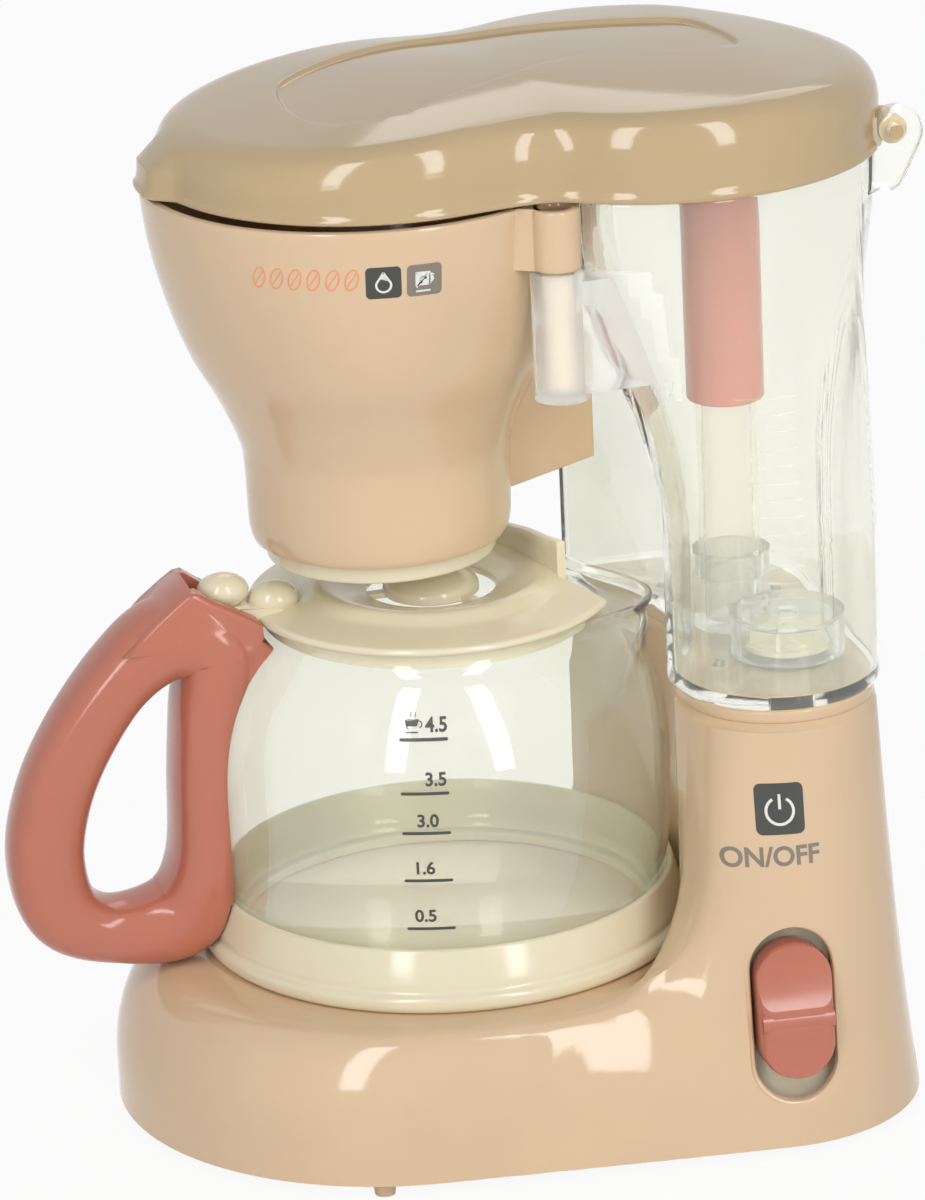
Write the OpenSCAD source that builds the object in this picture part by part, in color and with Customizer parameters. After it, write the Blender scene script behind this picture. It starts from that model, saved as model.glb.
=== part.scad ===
// Toy drip coffee maker: a battery pump lifts water from a clear tank and lets it run
// through a swing-out filter basket into a carafe. Millimetres, +Z up, front towards -Y.

/* [Base] */
// Height of the carafe seat above the table
seat_h = 35.8; // [33:0.2:38]
// Radius of the round end of the base under the carafe
base_lobe_r = 62.2; // [60:0.2:64]
// Radius of the two base corners under the pillar
base_corner_r = 35.2; // [33:0.2:37]
// Height of the rounded shoulder that runs round the base
shoulder_h = 23.4; // [20:0.2:26]
// Width of that shoulder in plan
shoulder_w = 14.5; // [10:0.5:15]
// Wall thickness of the moulded housings
wall = 2.2; // [1.8:0.1:2.8]
// Height of the moulded feet
foot_h = 3.8; // [2:0.1:5]

/* [Pillar and tank] */
// Height of the pillar top, where the tank stands
pillar_h = 97; // [90:0.5:104]
// Height of the water tank
tank_h = 111.8; // [104:0.2:118]
// Wall thickness of the tank
tank_wall = 2; // [1.5:0.1:2.6]
// Radius of the tank at its mouth
tank_r = 45.4; // [44:0.1:46]
// How far the pillar stands in from the tank wall
set_in = 1; // [0.6:0.1:1.6]

/* [Lid] */
// Gap under the lid flange
lid_gap = 0.4; // [0.3:0.1:0.8]
// Height of the lid from flange to crown
lid_h = 20.2; // [18:0.2:22]
// Depth of the straight side of the lid
lid_side_h = 10; // [8:0.5:12]
// Wall thickness of the lid
lid_wall = 2; // [1.6:0.1:2.6]
// Spacing of the two lid hinge ears, centre to centre
ear_span = 44; // [38:1:50]
// Radius of the moulded lid hinge pins
lid_pin_r = 1.6; // [1.2:0.1:2]

/* [Filter basket] */
// Outer radius of the basket at its rim
basket_r = 47.7; // [46.5:0.1:48.3]
// Outer radius of the basket at its foot
basket_foot_r = 28.3; // [26:0.1:30]
// Height of the basket's foot above the rim of the carafe
basket_rise = 16.5; // [16:0.1:19]
// Wall thickness of the basket
basket_wall = 2; // [1.6:0.1:2.4]
// Radius of the basket hinge pin
basket_pin_r = 3.2; // [2.6:0.1:3.8]

/* [Carafe] */
// Outer radius of the carafe's base ring
ring_r = 54; // [52:0.1:54.4]
// Gap between the carafe's base ring and the pillar behind it
carafe_gap = 1; // [0.6:0.1:2]
// Largest radius of the clear carafe body
carafe_r = 50.4; // [49:0.1:51.5]
// Height of the carafe at its rim
carafe_h = 73.6; // [70:0.2:75]
// Wall thickness of the carafe body
carafe_wall = 1.8; // [1.4:0.1:2.4]
// Radius of the carafe lid
carafe_lid_r = 39.3; // [37:0.1:40]
// Reach of the handle from the carafe's axis
handle_reach = 96.7; // [90:0.1:102]
// Thickness of the handle grip
handle_t = 17; // [14:0.5:20]

/* [Pump and power] */
// Radius of the motor can
motor_r = 10; // [8:0.5:11]
// Length of the motor can
motor_l = 25; // [20:1:30]
// Radius of the motor shaft
shaft_r = 1; // [0.8:0.1:1.5]
// Radius of the impeller
impeller_r = 9; // [7:0.5:11]
// Radius of the riser tube
riser_r = 6.6; // [5.5:0.1:7.2]
// Radius of the sleeve over the riser tube
sleeve_r = 8.5; // [7.8:0.1:9.5]
// Radius of one battery cell
cell_r = 7.1; // [5.2:0.1:7.2]
// Length of one battery cell
cell_l = 50.2; // [44:0.1:50.5]
// Sliding travel of the switch
switch_travel = 7; // [4:0.5:8]
// Width of the switch slider
slider_w = 16.4; // [12:0.2:18]
// Length of the switch slider
slider_l = 30; // [24:0.5:32]
// Height of the slider over the middle of its slot, at rest
slider_rest = 1.3; // [0:0.1:3]

/* [Hidden] */

// Running clearance between pieces that touch, and between pieces that move past each other
fit_gap = 0.1;
free_gap = 0.35;
// Radius of a lead's insulation
lead_r = 0.7;

// Plan positions of the three upright centre lines and the hinges
carafe_at = [-3.5, 7.5];
basket_at = [-13.7, 8.5];
tank_at = [49.1, 0];
riser_at = [61.7, 0];
pump_at = [68, -21];
basket_hinge_at = [16.8, -33.9];

// Every outline of the housing and the tank is measured along rays from this point
core = [80, 4];

// Levels
base_z = foot_h;
tank_z = pillar_h + 0.6;
tank_top = pillar_h + tank_h;
lid_z = tank_top + lid_gap;
lid_pin_z = lid_z + 3.4;
basket_top = tank_top - 0.6;
carafe_z = seat_h + 2.3;
lid_seat_z = carafe_z + carafe_h;
basket_z = lid_seat_z + basket_rise;
basket_h = basket_top - basket_z;

// Thickness of the tank floor
tank_floor = 2.2;

// Number of rays round a moulded shell
rays = 72;
far = 1000;

function lerp(a, b, t) = a + (b - a) * t;
function clamp01(t) = min(1, max(0, t));
function ease(lo, hi, x) = let (t = clamp01((x - lo) / (hi - lo))) t * t * (3 - 2 * t);
function turn(a, b) = abs(((a - b + 540) % 360) - 180);
function smin(p, q, k) = let (h = max(k - abs(p - q), 0) / k) min(p, q) - h * h * k / 4;
function smax(p, q, k) = -smin(-p, -q, k);

// Rays are closer together towards the carafe, where the outlines are furthest away
function ray_angle(i) = let (t = 360 * i / rays) t + 36 * sin(t);

// Furthest reach of a round-cornered outline square to direction a
function support(corners, mid, a) =
    max([for (c = corners) (c[0] - mid[0]) * cos(a) + (c[1] - mid[1]) * sin(a) + c[2]]);
// Distance along the ray at angle a from mid to that outline
function reach(corners, mid, a) =
    min([for (b = [-76:4:76]) support(corners, mid, a + b) / cos(b)]);
// Distance along the ray at angle a from mid to the near or far side of a circle
function ray_along(c, mid, a) = (c[0] - mid[0]) * cos(a) + (c[1] - mid[1]) * sin(a);
function ray_off(c, mid, a) = (c[0] - mid[0]) * sin(a) - (c[1] - mid[1]) * cos(a);
function near_side(c, mid, a) =
    let (along = ray_along(c, mid, a), off = ray_off(c, mid, a))
    along > 0 && abs(off) < c[2] ? along - sqrt(c[2] * c[2] - off * off) : far;
function far_side(c, mid, a) =
    let (along = ray_along(c, mid, a), off = ray_off(c, mid, a))
    along + sqrt(c[2] * c[2] - off * off);

function at(mid, r, a, z) = [mid[0] + r * cos(a), mid[1] + r * sin(a), z];
function reversed(l) = [for (i = [len(l) - 1:-1:0]) l[i]];

// Closed solid through rows of rings; each ring has the same number of points, counter-clockwise
module skin(rows, low, high) {
    n = len(rows[0]);
    m = len(rows);
    points = concat([for (r = rows) for (p = r) p], [low, high]);
    function id(k, i) = k * n + (i % n);
    sides = [for (k = [0:m - 2]) for (i = [0:n - 1]) each [
        [id(k, i), id(k + 1, i), id(k + 1, i + 1)],
        [id(k, i), id(k + 1, i + 1), id(k, i + 1)]]];
    ends = [for (i = [0:n - 1]) each [
        [id(0, i + 1), m * n, id(0, i)],
        [id(m - 1, i), m * n + 1, id(m - 1, i + 1)]]];
    polyhedron(points, concat(sides, ends), convexity = 8);
}

// Tube of round section along a list of points, with flat ends
module tube_along(path, r, sides = 8) {
    n = len(path);
    function unit(v) = v / norm(v);
    function way(i) = unit(path[min(i + 1, n - 1)] - path[max(i - 1, 0)]);
    function square_to(v, ref) = unit(ref - (ref * v) * v);
    rows = [for (i = [0:n - 1])
        let (d = way(i), u = square_to(d, abs(d[2]) > 0.8 ? [1, 0, 0] : [0, 0, 1]), v = cross(d, u))
        [for (j = [0:sides - 1]) path[i] + r * (cos(360 * j / sides) * u + sin(360 * j / sides) * v)]];
    skin(rows, path[0], path[n - 1]);
}

module place(p, z = 0) translate([p[0], p[1], z]) children();
module ring(r_out, r_in, h) difference() {
    cylinder(r = r_out, h = h, $fn = 72);
    translate([0, 0, -1]) cylinder(r = r_in, h = h + 2, $fn = 72);
}

// ---------------------------------------------------------------- base housing
base_corners = [[-16.4, 3.4, base_lobe_r], [55.6, -31, base_corner_r], [55.6, 31, base_corner_r],
                [50.4, 0, base_corner_r + 9.3]];
// Outline of the tank foot; the pillar top is the same outline, set in a little
foot_corners = [[62.4, -30.7, 22.1], [59.3, 26, 26.8], [59, -35.5, 15.8], [45.6, 43, 10]];
// Centre and radius of the hollow tank wall that faces the carafe
hollow = [carafe_at[0], carafe_at[1], ring_r + carafe_gap - set_in];
function grown(corners, by) = [for (c = corners) [c[0], c[1], c[2] + by]];

function foot_outline(a, by) =
    smin(reach(grown(foot_corners, by), core, a),
         near_side([hollow[0], hollow[1], hollow[2] - by], core, a), 5);

// Direction of the carafe from the core, and how far the ray at a turns away from it
carafe_way = atan2(carafe_at[1] - core[1], carafe_at[0] - core[0]);

// Height of the lip on the pillar top, above its groove
lip_h = 2.8;

// One upright section of the housing, from its bottom edge to the pillar top, moved in by inset
function housing_section(a, inset) =
    let (away = turn(a, carafe_way),
         edge = reach(base_corners, core, a) - inset,
         top = foot_outline(a, -set_in - inset),
         z_top = pillar_h - inset,
         z_seat = seat_h - inset,
         w = shoulder_w,
         fillet = min(lerp(0.7, 24, ease(39.6, 45, away)), (edge - w - top) * 0.9),
         upright = ease(39.4, 61, away),
         stand = seat_h - shoulder_h,
         lip = [[top - 0.5, z_top - lip_h - 0.4], [top - 1.1, z_top - lip_h],
                [top - 0.7, z_top - lip_h + 0.5], [top - 0.7, z_top - 0.4], [top - 1.1, z_top]],
         lobe = [[edge, base_z], [edge, stand],
                 for (f = [20:20:80]) [edge - w * (1 - cos(f)), stand + (z_seat - stand) * sin(f)],
                 [edge - w, z_seat], [top + fillet, z_seat],
                 for (f = [30:30:90]) [top + fillet * (1 - sin(f)), z_seat + fillet * (1 - cos(f))],
                 [top, z_top - lip_h - 1.4]],
         levels = [base_z, stand, for (rise = [5, 11, 17, 23, 29, 36, 43, 51, 60]) stand + rise,
                   z_top - lip_h - 1.4],
         side = [for (z = levels) [lerp(edge, top, (z - base_z) / (pillar_h - base_z)), z]])
    concat([for (k = [0:len(side) - 1]) lerp(lobe[k], side[k], upright)], lip);

// The shell in one skin: down the inside, across the bottom edge and up the outside
module housing_shell() {
    function rows(inset) = let (sections = [for (i = [0:rays - 1]) housing_section(ray_angle(i), inset)])
        [for (k = [0:len(sections[0]) - 1]) [for (i = [0:rays - 1])
            at(core, sections[i][k][0], ray_angle(i), sections[i][k][1])]];
    skin(concat(reversed(rows(wall)), rows(0)),
         [core[0], core[1], pillar_h - wall], [core[0], core[1], pillar_h]);
}

// Front face of the pillar at the switch
switch_x = 55.4;
switch_z = seat_h - 3.4;
face_foot_y = base_corners[1][1] - base_corners[1][2];
face_top_y = foot_corners[0][1] - foot_corners[0][2] + set_in;
switch_lean = atan((face_top_y - face_foot_y) / (pillar_h - base_z));
function front_y(z) = lerp(face_foot_y, face_top_y, (z - base_z) / (pillar_h - base_z));
module on_switch_face() translate([switch_x, front_y(switch_z), switch_z])
    rotate([-switch_lean, 0, -4]) children();
slot_w = slider_w + 1.4;
slot_l = slider_l + switch_travel + 0.6;

module stadium(w, l, t) rotate([90, 0, 0]) linear_extrude(t) hull()
    for (s = [-1, 1]) translate([0, s * (l - w) / 2]) circle(d = w, $fn = 48);

// Bosses that take the base screws, inside the housing
base_boss_at = [[-55, 5], [-14, -42], [-14, 50], [85.3, -36.8], [85.3, 36.8]];
boss_r = 3.6;
side_boss_top = 17;
screw_r = 1.3;
plate_z = base_z + 0.5;
plate_t = 2;

module base_housing() color([0.85, 0.75, 0.62]) {
    difference() {
        housing_shell();
        on_switch_face() translate([0, 8, 0]) stadium(slot_w, slot_l, 16);
        // Holes for the tank's screws, the motor shaft and the pump seal
        for (p = tank_boss_at) place(p, pillar_h - 6) cylinder(r = screw_r + 0.3, h = 12, $fn = 24);
        place(pump_at, pillar_h - 6) cylinder(r = seal_r + fit_gap, h = 12, $fn = 36);
        place(pump_at, pillar_h - 6) rotate([0, 0, mount_turn]) for (s = [-1, 1]) translate([s * mount_arm, 0, 0])
            cylinder(r = screw_r * 0.8 + 0.01, h = 5.5, $fn = 24);
    }
    for (p = base_boss_at) place(p, plate_z + plate_t + fit_gap) difference() {
        cylinder(r = boss_r, h = (p[0] > 60 ? side_boss_top : seat_h - wall + 0.6) - plate_z - plate_t,
                 $fn = 32);
        translate([0, 0, -1]) cylinder(r = screw_r * 0.85, h = 12, $fn = 24);
    }
    // Bosses for the switch plate
    on_switch_face() for (z = plate_screw_at) translate([0, plate_y - fit_gap, z]) rotate([90, 0, 0])
        difference() {
            cylinder(r = 3, h = plate_y - fit_gap - wall + 0.8, $fn = 32);
            translate([0, 0, -0.1]) cylinder(r = screw_r * 0.85, h = 3.4, $fn = 24);
        }
}

// ---------------------------------------------------------------- bottom plate and battery box
// The plate follows the inside of the housing, which leans in a little with height
function plate_ring(z) = [for (i = [0:rays - 1])
    let (s = housing_section(ray_angle(i), wall + free_gap), t = (z - s[0][1]) / (s[1][1] - s[0][1]))
    at(core, lerp(s[0][0], s[1][0], t), ray_angle(i), z)];
cell_pitch = 2 * cell_r + 1.2;
box_at = [-10, 6];
box_l = cell_l + 5;
box_w = 2 * cell_pitch + 1.6;
box_wall = 1.6;
cell_z = plate_z + plate_t + cell_r + 0.6;
box_top = cell_z + cell_r + 0.3;
foot_at = [[-33.4, -51], [-37, 55], [66, -50], [66, 52]];
// Where the two leads pass through the end of the battery box
contact_at = box_at[0] + box_l / 2 - 0.7;
lead_y = [for (s = [-1, 1]) box_at[1] + s * cell_pitch / 2];
lead_z = cell_z + 4;

module bottom_plate() color([0.80, 0.71, 0.58]) difference() {
    union() {
        skin([plate_ring(plate_z), plate_ring(plate_z + plate_t)],
             [core[0], core[1], plate_z], [core[0], core[1], plate_z + plate_t]);
        for (p = foot_at) place(p) cylinder(r1 = 2.2, r2 = 2.8, h = plate_z + 0.5, $fn = 32);
        place(box_at, plate_z + 0.5) translate([-box_l / 2 - box_wall, -box_w / 2 - box_wall, 0])
            cube([box_l + 2 * box_wall, box_w + 2 * box_wall, box_top + box_wall - plate_z - 0.5]);
    }
    place(box_at, plate_z - 1) translate([-box_l / 2, -box_w / 2, 0])
        cube([box_l, box_w, box_top - plate_z + 1]);
    for (y = lead_y) translate([contact_at, y, lead_z]) rotate([0, 90, 0])
        cylinder(r = lead_r + free_gap, h = 6, $fn = 24);
    for (p = base_boss_at) place(p, plate_z - 1) cylinder(r = screw_r + 0.3, h = 6, $fn = 24);
}

module battery_cover() color([0.80, 0.71, 0.58]) place(box_at, plate_z) difference() {
    union() {
        translate([-box_l / 2 + free_gap, -box_w / 2 + free_gap, 0])
            cube([box_l - 2 * free_gap, box_w - 2 * free_gap, plate_t]);
        for (s = [-1, 1]) translate([s * (box_l / 2 - 2), 0, plate_t - 0.2])
            cylinder(r = 1.2, h = 2, $fn = 24);
    }
    translate([0, 0, -1]) cylinder(r = screw_r + 0.3, h = 6, $fn = 24);
}

module screw(l, head = 2.6) {
    cylinder(r = head, h = 1.4, $fn = 32);
    translate([0, 0, 1.3]) cylinder(r = screw_r * 0.8, h = l, $fn = 24);
}
module base_screws() color("silver")
    for (p = base_boss_at) place(p, plate_z - 1.45) screw(12);
module battery_cover_screw() color("silver") place(box_at, plate_z - 1.45) screw(6);

// Each cell is pushed by its spring against the contact at its positive end
cell_shift = (box_l - cell_l) / 2 - 1.05;
module batteries() color([0.20, 0.35, 0.55]) for (s = [-1, 1])
    place([box_at[0] + s * cell_shift, box_at[1] + s * cell_pitch / 2], cell_z) rotate([0, 90 * s, 0]) {
        translate([0, 0, -cell_l / 2]) cylinder(r = cell_r, h = cell_l - 1.4, $fn = 48);
        translate([0, 0, cell_l / 2 - 1.5]) cylinder(r = 2.6, h = 1.5, $fn = 32);
    }

spring_turns = 3;
module battery_springs() color("silver") for (s = [-1, 1])
    place([box_at[0] - s * (cell_l / 2 - cell_shift), box_at[1] + s * cell_pitch / 2], cell_z)
        rotate([0, -90 * s, 0]) tube_along([for (i = [0:12 * spring_turns])
            let (t = i / (12 * spring_turns))
            [lerp(2.4, 5, t) * cos(30 * i), lerp(2.4, 5, t) * sin(30 * i), lerp(0.5, 2.4, t)]], 0.35, 6);
// One strip joins the cells at the far end; two plates take the leads at the other
module battery_contacts() color("silver") {
    translate([2 * box_at[0] - contact_at - 0.3, box_at[1] - box_w / 2 + 2, cell_z - 5.5])
        cube([0.6, box_w - 4, 11]);
    for (y = lead_y) translate([contact_at - 0.3, y - 5.5, cell_z - 5.5]) cube([0.6, 11, 11]);
}

// ---------------------------------------------------------------- motor and pump
seal_r = 4;
motor_top = pillar_h - wall - 9;
mount_t = 2;
module motor() color([0.62, 0.62, 0.64]) place(pump_at, motor_top - motor_l) difference() {
    union() {
        cylinder(r = motor_r, h = motor_l, $fn = 48);
        translate([0, 0, motor_l - 0.1]) cylinder(r = 3, h = 1.6, $fn = 32);
        translate([0, 0, -1.4]) cylinder(r = 3.4, h = 1.5, $fn = 32);
    }
    translate([0, 0, motor_l - 4]) cylinder(r = shaft_r + fit_gap / 2, h = 8, $fn = 24);
}
impeller_z = tank_z + tank_floor + 1.2;
module motor_shaft() color("silver") place(pump_at, motor_top - 3.8)
    cylinder(r = shaft_r, h = impeller_z + 5 - motor_top + 3.8, $fn = 24);
mount_arm = motor_r + 4;
mount_turn = 60;
module motor_mount() color([0.82, 0.72, 0.58]) place(pump_at, motor_top) rotate([0, 0, mount_turn])
    difference() {
    union() {
        cylinder(r = motor_r + 2.4, h = mount_t, $fn = 48);
        for (s = [-1, 1]) translate([s * mount_arm, 0, 0])
            cylinder(r = 3.4, h = pillar_h - wall - motor_top - 0.05, $fn = 32);
        translate([-mount_arm, -3.4, 0]) cube([2 * mount_arm, 6.8, mount_t]);
    }
    translate([0, 0, -1]) cylinder(r = 3 + fit_gap, h = mount_t + 2, $fn = 32);
    for (s = [-1, 1]) translate([s * mount_arm, 0, -1])
        cylinder(r = screw_r + 0.1, h = 20, $fn = 24);
}
module motor_mount_screws() color("silver") for (s = [-1, 1])
    place(pump_at, motor_top - 1.45) rotate([0, 0, mount_turn]) translate([s * mount_arm, 0, 0])
        screw(pillar_h - motor_top - 0.7);
module shaft_seal() color([0.25, 0.25, 0.25]) place(pump_at, pillar_h - wall - 0.4) difference() {
    union() {
        cylinder(r = seal_r, h = tank_z + tank_floor + 0.6 - pillar_h + wall, $fn = 36);
        cylinder(r = seal_r + 1.5, h = 0.35, $fn = 36);
    }
    translate([0, 0, -1]) cylinder(r = shaft_r + fit_gap / 2, h = 20, $fn = 24);
}
blade_n = 6;
module impeller() color([0.93, 0.90, 0.80]) place(pump_at, impeller_z) difference() {
    union() {
        cylinder(r = impeller_r, h = 1.2, $fn = 48);
        cylinder(r = 2.6, h = 5.6, $fn = 32);
        for (i = [0:blade_n - 1]) rotate([0, 0, i * 360 / blade_n])
            translate([2, -0.5, 1]) cube([impeller_r - 2.6, 1, 3.6]);
    }
    translate([0, 0, -1]) cylinder(r = shaft_r + 0.01, h = 6.05, $fn = 24);
}
cover_r = impeller_r + 3.4;
cover_h = 9;
cover_z = tank_z + tank_floor + 0.05;
// The cover's outlet meets the riser in an open socket
outlet_z = cover_z + cover_h + 2;
module pump_cover() color([0.86, 0.88, 0.87, 0.5]) difference() {
    union() {
        place(pump_at, cover_z) cylinder(r = cover_r, h = cover_h, $fn = 60);
        place(riser_at, cover_z) cylinder(r = riser_r + 2, h = outlet_z + 6 - cover_z, $fn = 48);
        place(pump_at, cover_z) linear_extrude(cover_h - 1.6) hull() {
            circle(r = 6, $fn = 32);
            translate(riser_at - pump_at) circle(r = 5, $fn = 32);
        }
    }
    place(pump_at, cover_z - 1) cylinder(r = impeller_r + 1, h = cover_h - 1, $fn = 60);
    place(riser_at, outlet_z) cylinder(r = riser_r + fit_gap, h = 10, $fn = 48);
    place(riser_at, cover_z + 1.6) cylinder(r = riser_r - 1.6, h = 20, $fn = 48);
    place(pump_at, cover_z + 1.6) linear_extrude(cover_h - 5) hull() {
        circle(r = 3, $fn = 32);
        translate(riser_at - pump_at) circle(r = 3, $fn = 32);
    }
    place(pump_at, cover_z + cover_h - 3) cylinder(r = 2.2, h = 6, $fn = 32);
}

riser_top = tank_top + 1;
module riser_tube() color([0.93, 0.88, 0.80, 0.7]) place(riser_at, outlet_z)
    ring(riser_r, riser_r - 1.4, riser_top - outlet_z);
sleeve_z = tank_top - 57.4;
module riser_sleeve() color([0.77, 0.46, 0.40]) place(riser_at, sleeve_z)
    ring(sleeve_r, riser_r + fit_gap, tank_top - 1 - sleeve_z);

// The spout turns the water from the riser over the tank wall into the basket
spout_z = tank_top + 4.7;
spout_r = 3.4;
spout_end = [8, 4];
module outlet_spout() color([0.77, 0.46, 0.40]) difference() {
    union() {
        place(riser_at, tank_top - 0.9) cylinder(r = sleeve_r, h = spout_z + spout_r - tank_top + 0.9, $fn = 48);
        hull() for (p = [riser_at, spout_end]) place(p, spout_z) sphere(r = spout_r, $fn = 32);
    }
    place(riser_at, tank_top - 2) cylinder(r = riser_r + fit_gap, h = riser_top + fit_gap - tank_top + 2, $fn = 48);
    place(riser_at, tank_top) cylinder(r = riser_r - 1.4, h = spout_z - tank_top, $fn = 48);
    place(spout_end, spout_z - 8) cylinder(r = 2, h = 8, $fn = 32);
    place(spout_end, spout_z) rotate([0, 90, atan2(riser_at[1] - spout_end[1], riser_at[0] - spout_end[0])])
        cylinder(r = 2, h = norm(riser_at - spout_end), $fn = 32);
}

// ---------------------------------------------------------------- water tank
mouth_corners = [[tank_at[0], tank_at[1], tank_r], [tank_at[0] - 10, tank_at[1] + 8, tank_r + 1]];
basket_clear = [basket_at[0], basket_at[1], basket_r + 2.6];
// Radius of the dent that clears the hinge barrel, above its socket
function dent_r(z) = (barrel_r + 0.7) * clamp01((z - socket_z - 14) / (socket_h - 16));
// Outline of the tank at height z, moved in by inset: squarish at the foot, round at the mouth
function tank_outline(a, z, inset) =
    let (t = (z - tank_z) / (tank_top - tank_z), u = ease(0.25, 0.9, t),
         shell = lerp(reach(foot_corners, core, a), reach(mouth_corners, core, a), ease(0.3, 1, t)),
         hollow_now = lerp(hollow, basket_clear, u))
    min(smin(shell - inset, near_side([hollow_now[0], hollow_now[1], hollow_now[2] + inset], core, a),
             lerp(3, 24, u)),
        near_side([basket_hinge_at[0], basket_hinge_at[1], dent_r(z) + inset], core, a));
// The tank's shape between two heights, with its bottom edge rounded by edge_r
module tank_solid(inset, z_low, z_high, edge_r) {
    steps = concat([[z_low, edge_r], [z_low + edge_r, 0.3 * edge_r], [z_low + 2.4 * edge_r, 0]],
                   [for (k = [1:7]) [lerp(tank_z, tank_top, k / 8), 0]], [[z_high, 0]]);
    rows = [for (s = steps) [for (i = [0:rays - 1])
        at(core, tank_outline(ray_angle(i), min(s[0], tank_top), inset + s[1]), ray_angle(i), s[0])]];
    skin(rows, [core[0], core[1], z_low], [core[0], core[1], z_high]);
}

tank_boss_at = [[78, 22], [56, 32], [53, -20]];
ear_t = 2.8;
ear_x = tank_at[0] + tank_r - 0.2;
ear_r = 5.9;
barrel_r = 5.2;
barrel_h = 13.2;
socket_r = 5.8;
socket_h = 27.8;
socket_z = basket_top - barrel_h - free_gap - socket_h;
module ear() translate([0, ear_t / 2, 0]) rotate([90, 0, 0]) linear_extrude(ear_t) {
    hull() {
        translate([ear_x, lid_pin_z]) circle(r = ear_r, $fn = 48);
        translate([ear_x - 2, lid_pin_z - 9]) circle(r = 3.6, $fn = 32);
    }
    polygon([[ear_x - 14, tank_top - 12], [ear_x - 14, tank_top - 2.5], [ear_x - 4, tank_top - 2.5],
             [ear_x - 2, tank_top - 10]]);
}
module water_tank() color([0.88, 0.92, 0.92, 0.4]) difference() {
    union() {
        tank_solid(0, tank_z, tank_top, 1.2);
        for (s = [-1, 1]) translate([0, s * ear_span / 2, 0]) ear();
        place(basket_hinge_at, socket_z) cylinder(r = socket_r, h = socket_h, $fn = 48);
        // Hollow-looking web that carries the socket
        place(basket_hinge_at, socket_z + 1.5) linear_extrude(socket_h - 3.5) hull() {
            circle(r = 4.4, $fn = 32);
            translate([26, 0]) circle(r = 3.4, $fn = 32);
        }
    }
    tank_solid(tank_wall, tank_z + tank_floor, tank_top + 3, 0.6);
    place(basket_hinge_at, socket_z + 2) cylinder(r = basket_pin_r + fit_gap, h = socket_h, $fn = 48);
    for (s = [-1, 1]) translate([ear_x, s * ear_span / 2 + 5, lid_pin_z]) rotate([90, 0, 0])
        cylinder(r = lid_pin_r + fit_gap, h = 10, $fn = 32);
    place(pump_at, tank_z - 1) cylinder(r = seal_r + fit_gap, h = 6, $fn = 36);
    for (p = tank_boss_at) place(p, tank_z - 1) cylinder(r = screw_r, h = 2.4, $fn = 24);
    // The lid's knuckles turn between the ears
    translate([ear_x, ear_span / 2 - ear_t / 2 - 0.3, lid_pin_z]) rotate([90, 0, 0])
        cylinder(r = 3.6, h = ear_span - ear_t - 0.6, $fn = 48);
}
module tank_gasket() color([0.75, 0.75, 0.75]) place(pump_at, pillar_h + 0.02)
    ring(seal_r + 5, seal_r + fit_gap, tank_z - pillar_h - 0.04);
module tank_screws() color("silver") for (p = tank_boss_at)
    place(p, pillar_h - wall - 1.45) screw(wall + tank_z - pillar_h + 1);

// ---------------------------------------------------------------- lid
lid_mid = [17, 4];
lid_tank = [for (c = mouth_corners) [c[0] + 0.5, c[1], c[2] + 1.3]];
// Rise of the lid's top from the basket end to the hinge
lid_slope = 0.03;
lid_basket = [basket_at[0] + 1.3, basket_at[1] - 0.5, basket_r - 1.7];
function lid_outline(a) = smax(reach(lid_tank, lid_mid, a), far_side(lid_basket, lid_mid, a), 16);
// The thumb tab at the basket end
function lid_tab(a) = 4.4 * ease(9, 4, turn(a, 178));
// Height of a point of the lid over its flange: the top slopes up to the hinge and falls at both ends
function lid_height(x, h) = (h + lid_slope * (x - lid_mid[0]) * clamp01(h / lid_side_h))
    * (h < 3 ? 1 : lerp(0.84, 1, ease(-60, 5, x)) * lerp(1, 0.86, ease(60, 94, x)));
function lid_point(r, a, h) = let (p = at(lid_mid, r, a, 0)) [p[0], p[1], lid_z + lid_height(p[0], h)];
// Rows of the lid's outside, or of its inside, from the flange to the last ring round the middle
function lid_rows(inset) =
    let (h = lid_h - inset, side = lid_side_h - inset,
         // Inset, height and share of the tab, up to the rounded edge of the top
         edge = [[0, 0, 1], [0, 1.4, 1], [0.7, 2.2, 1], [0.7, side - 1, 0.9], [1.4, side + 2.4, 0.4],
                 [3, side + 5.2, 0.1], [5.4, side + 6.8, 0]],
         crown = [0, 0.12, 0.3, 0.5, 0.75])
    concat(
        [for (e = edge) [for (i = [0:rays - 1]) let (a = 360 * i / rays)
            lid_point(lid_outline(a) + e[2] * lid_tab(a) - inset - e[0], a, e[1])]],
        [for (c = crown) [for (i = [0:rays - 1]) let (a = 360 * i / rays)
            lid_point((lid_outline(a) - inset - 8) * (1 - c), a, lerp(side + 7.6, h, 1 - pow(1 - c, 2)))]]);
function lid_top(inset) = [lid_mid[0], lid_mid[1], lid_z + lid_height(lid_mid[0], lid_h - inset)];
knuckle_r = 3.1;
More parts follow.
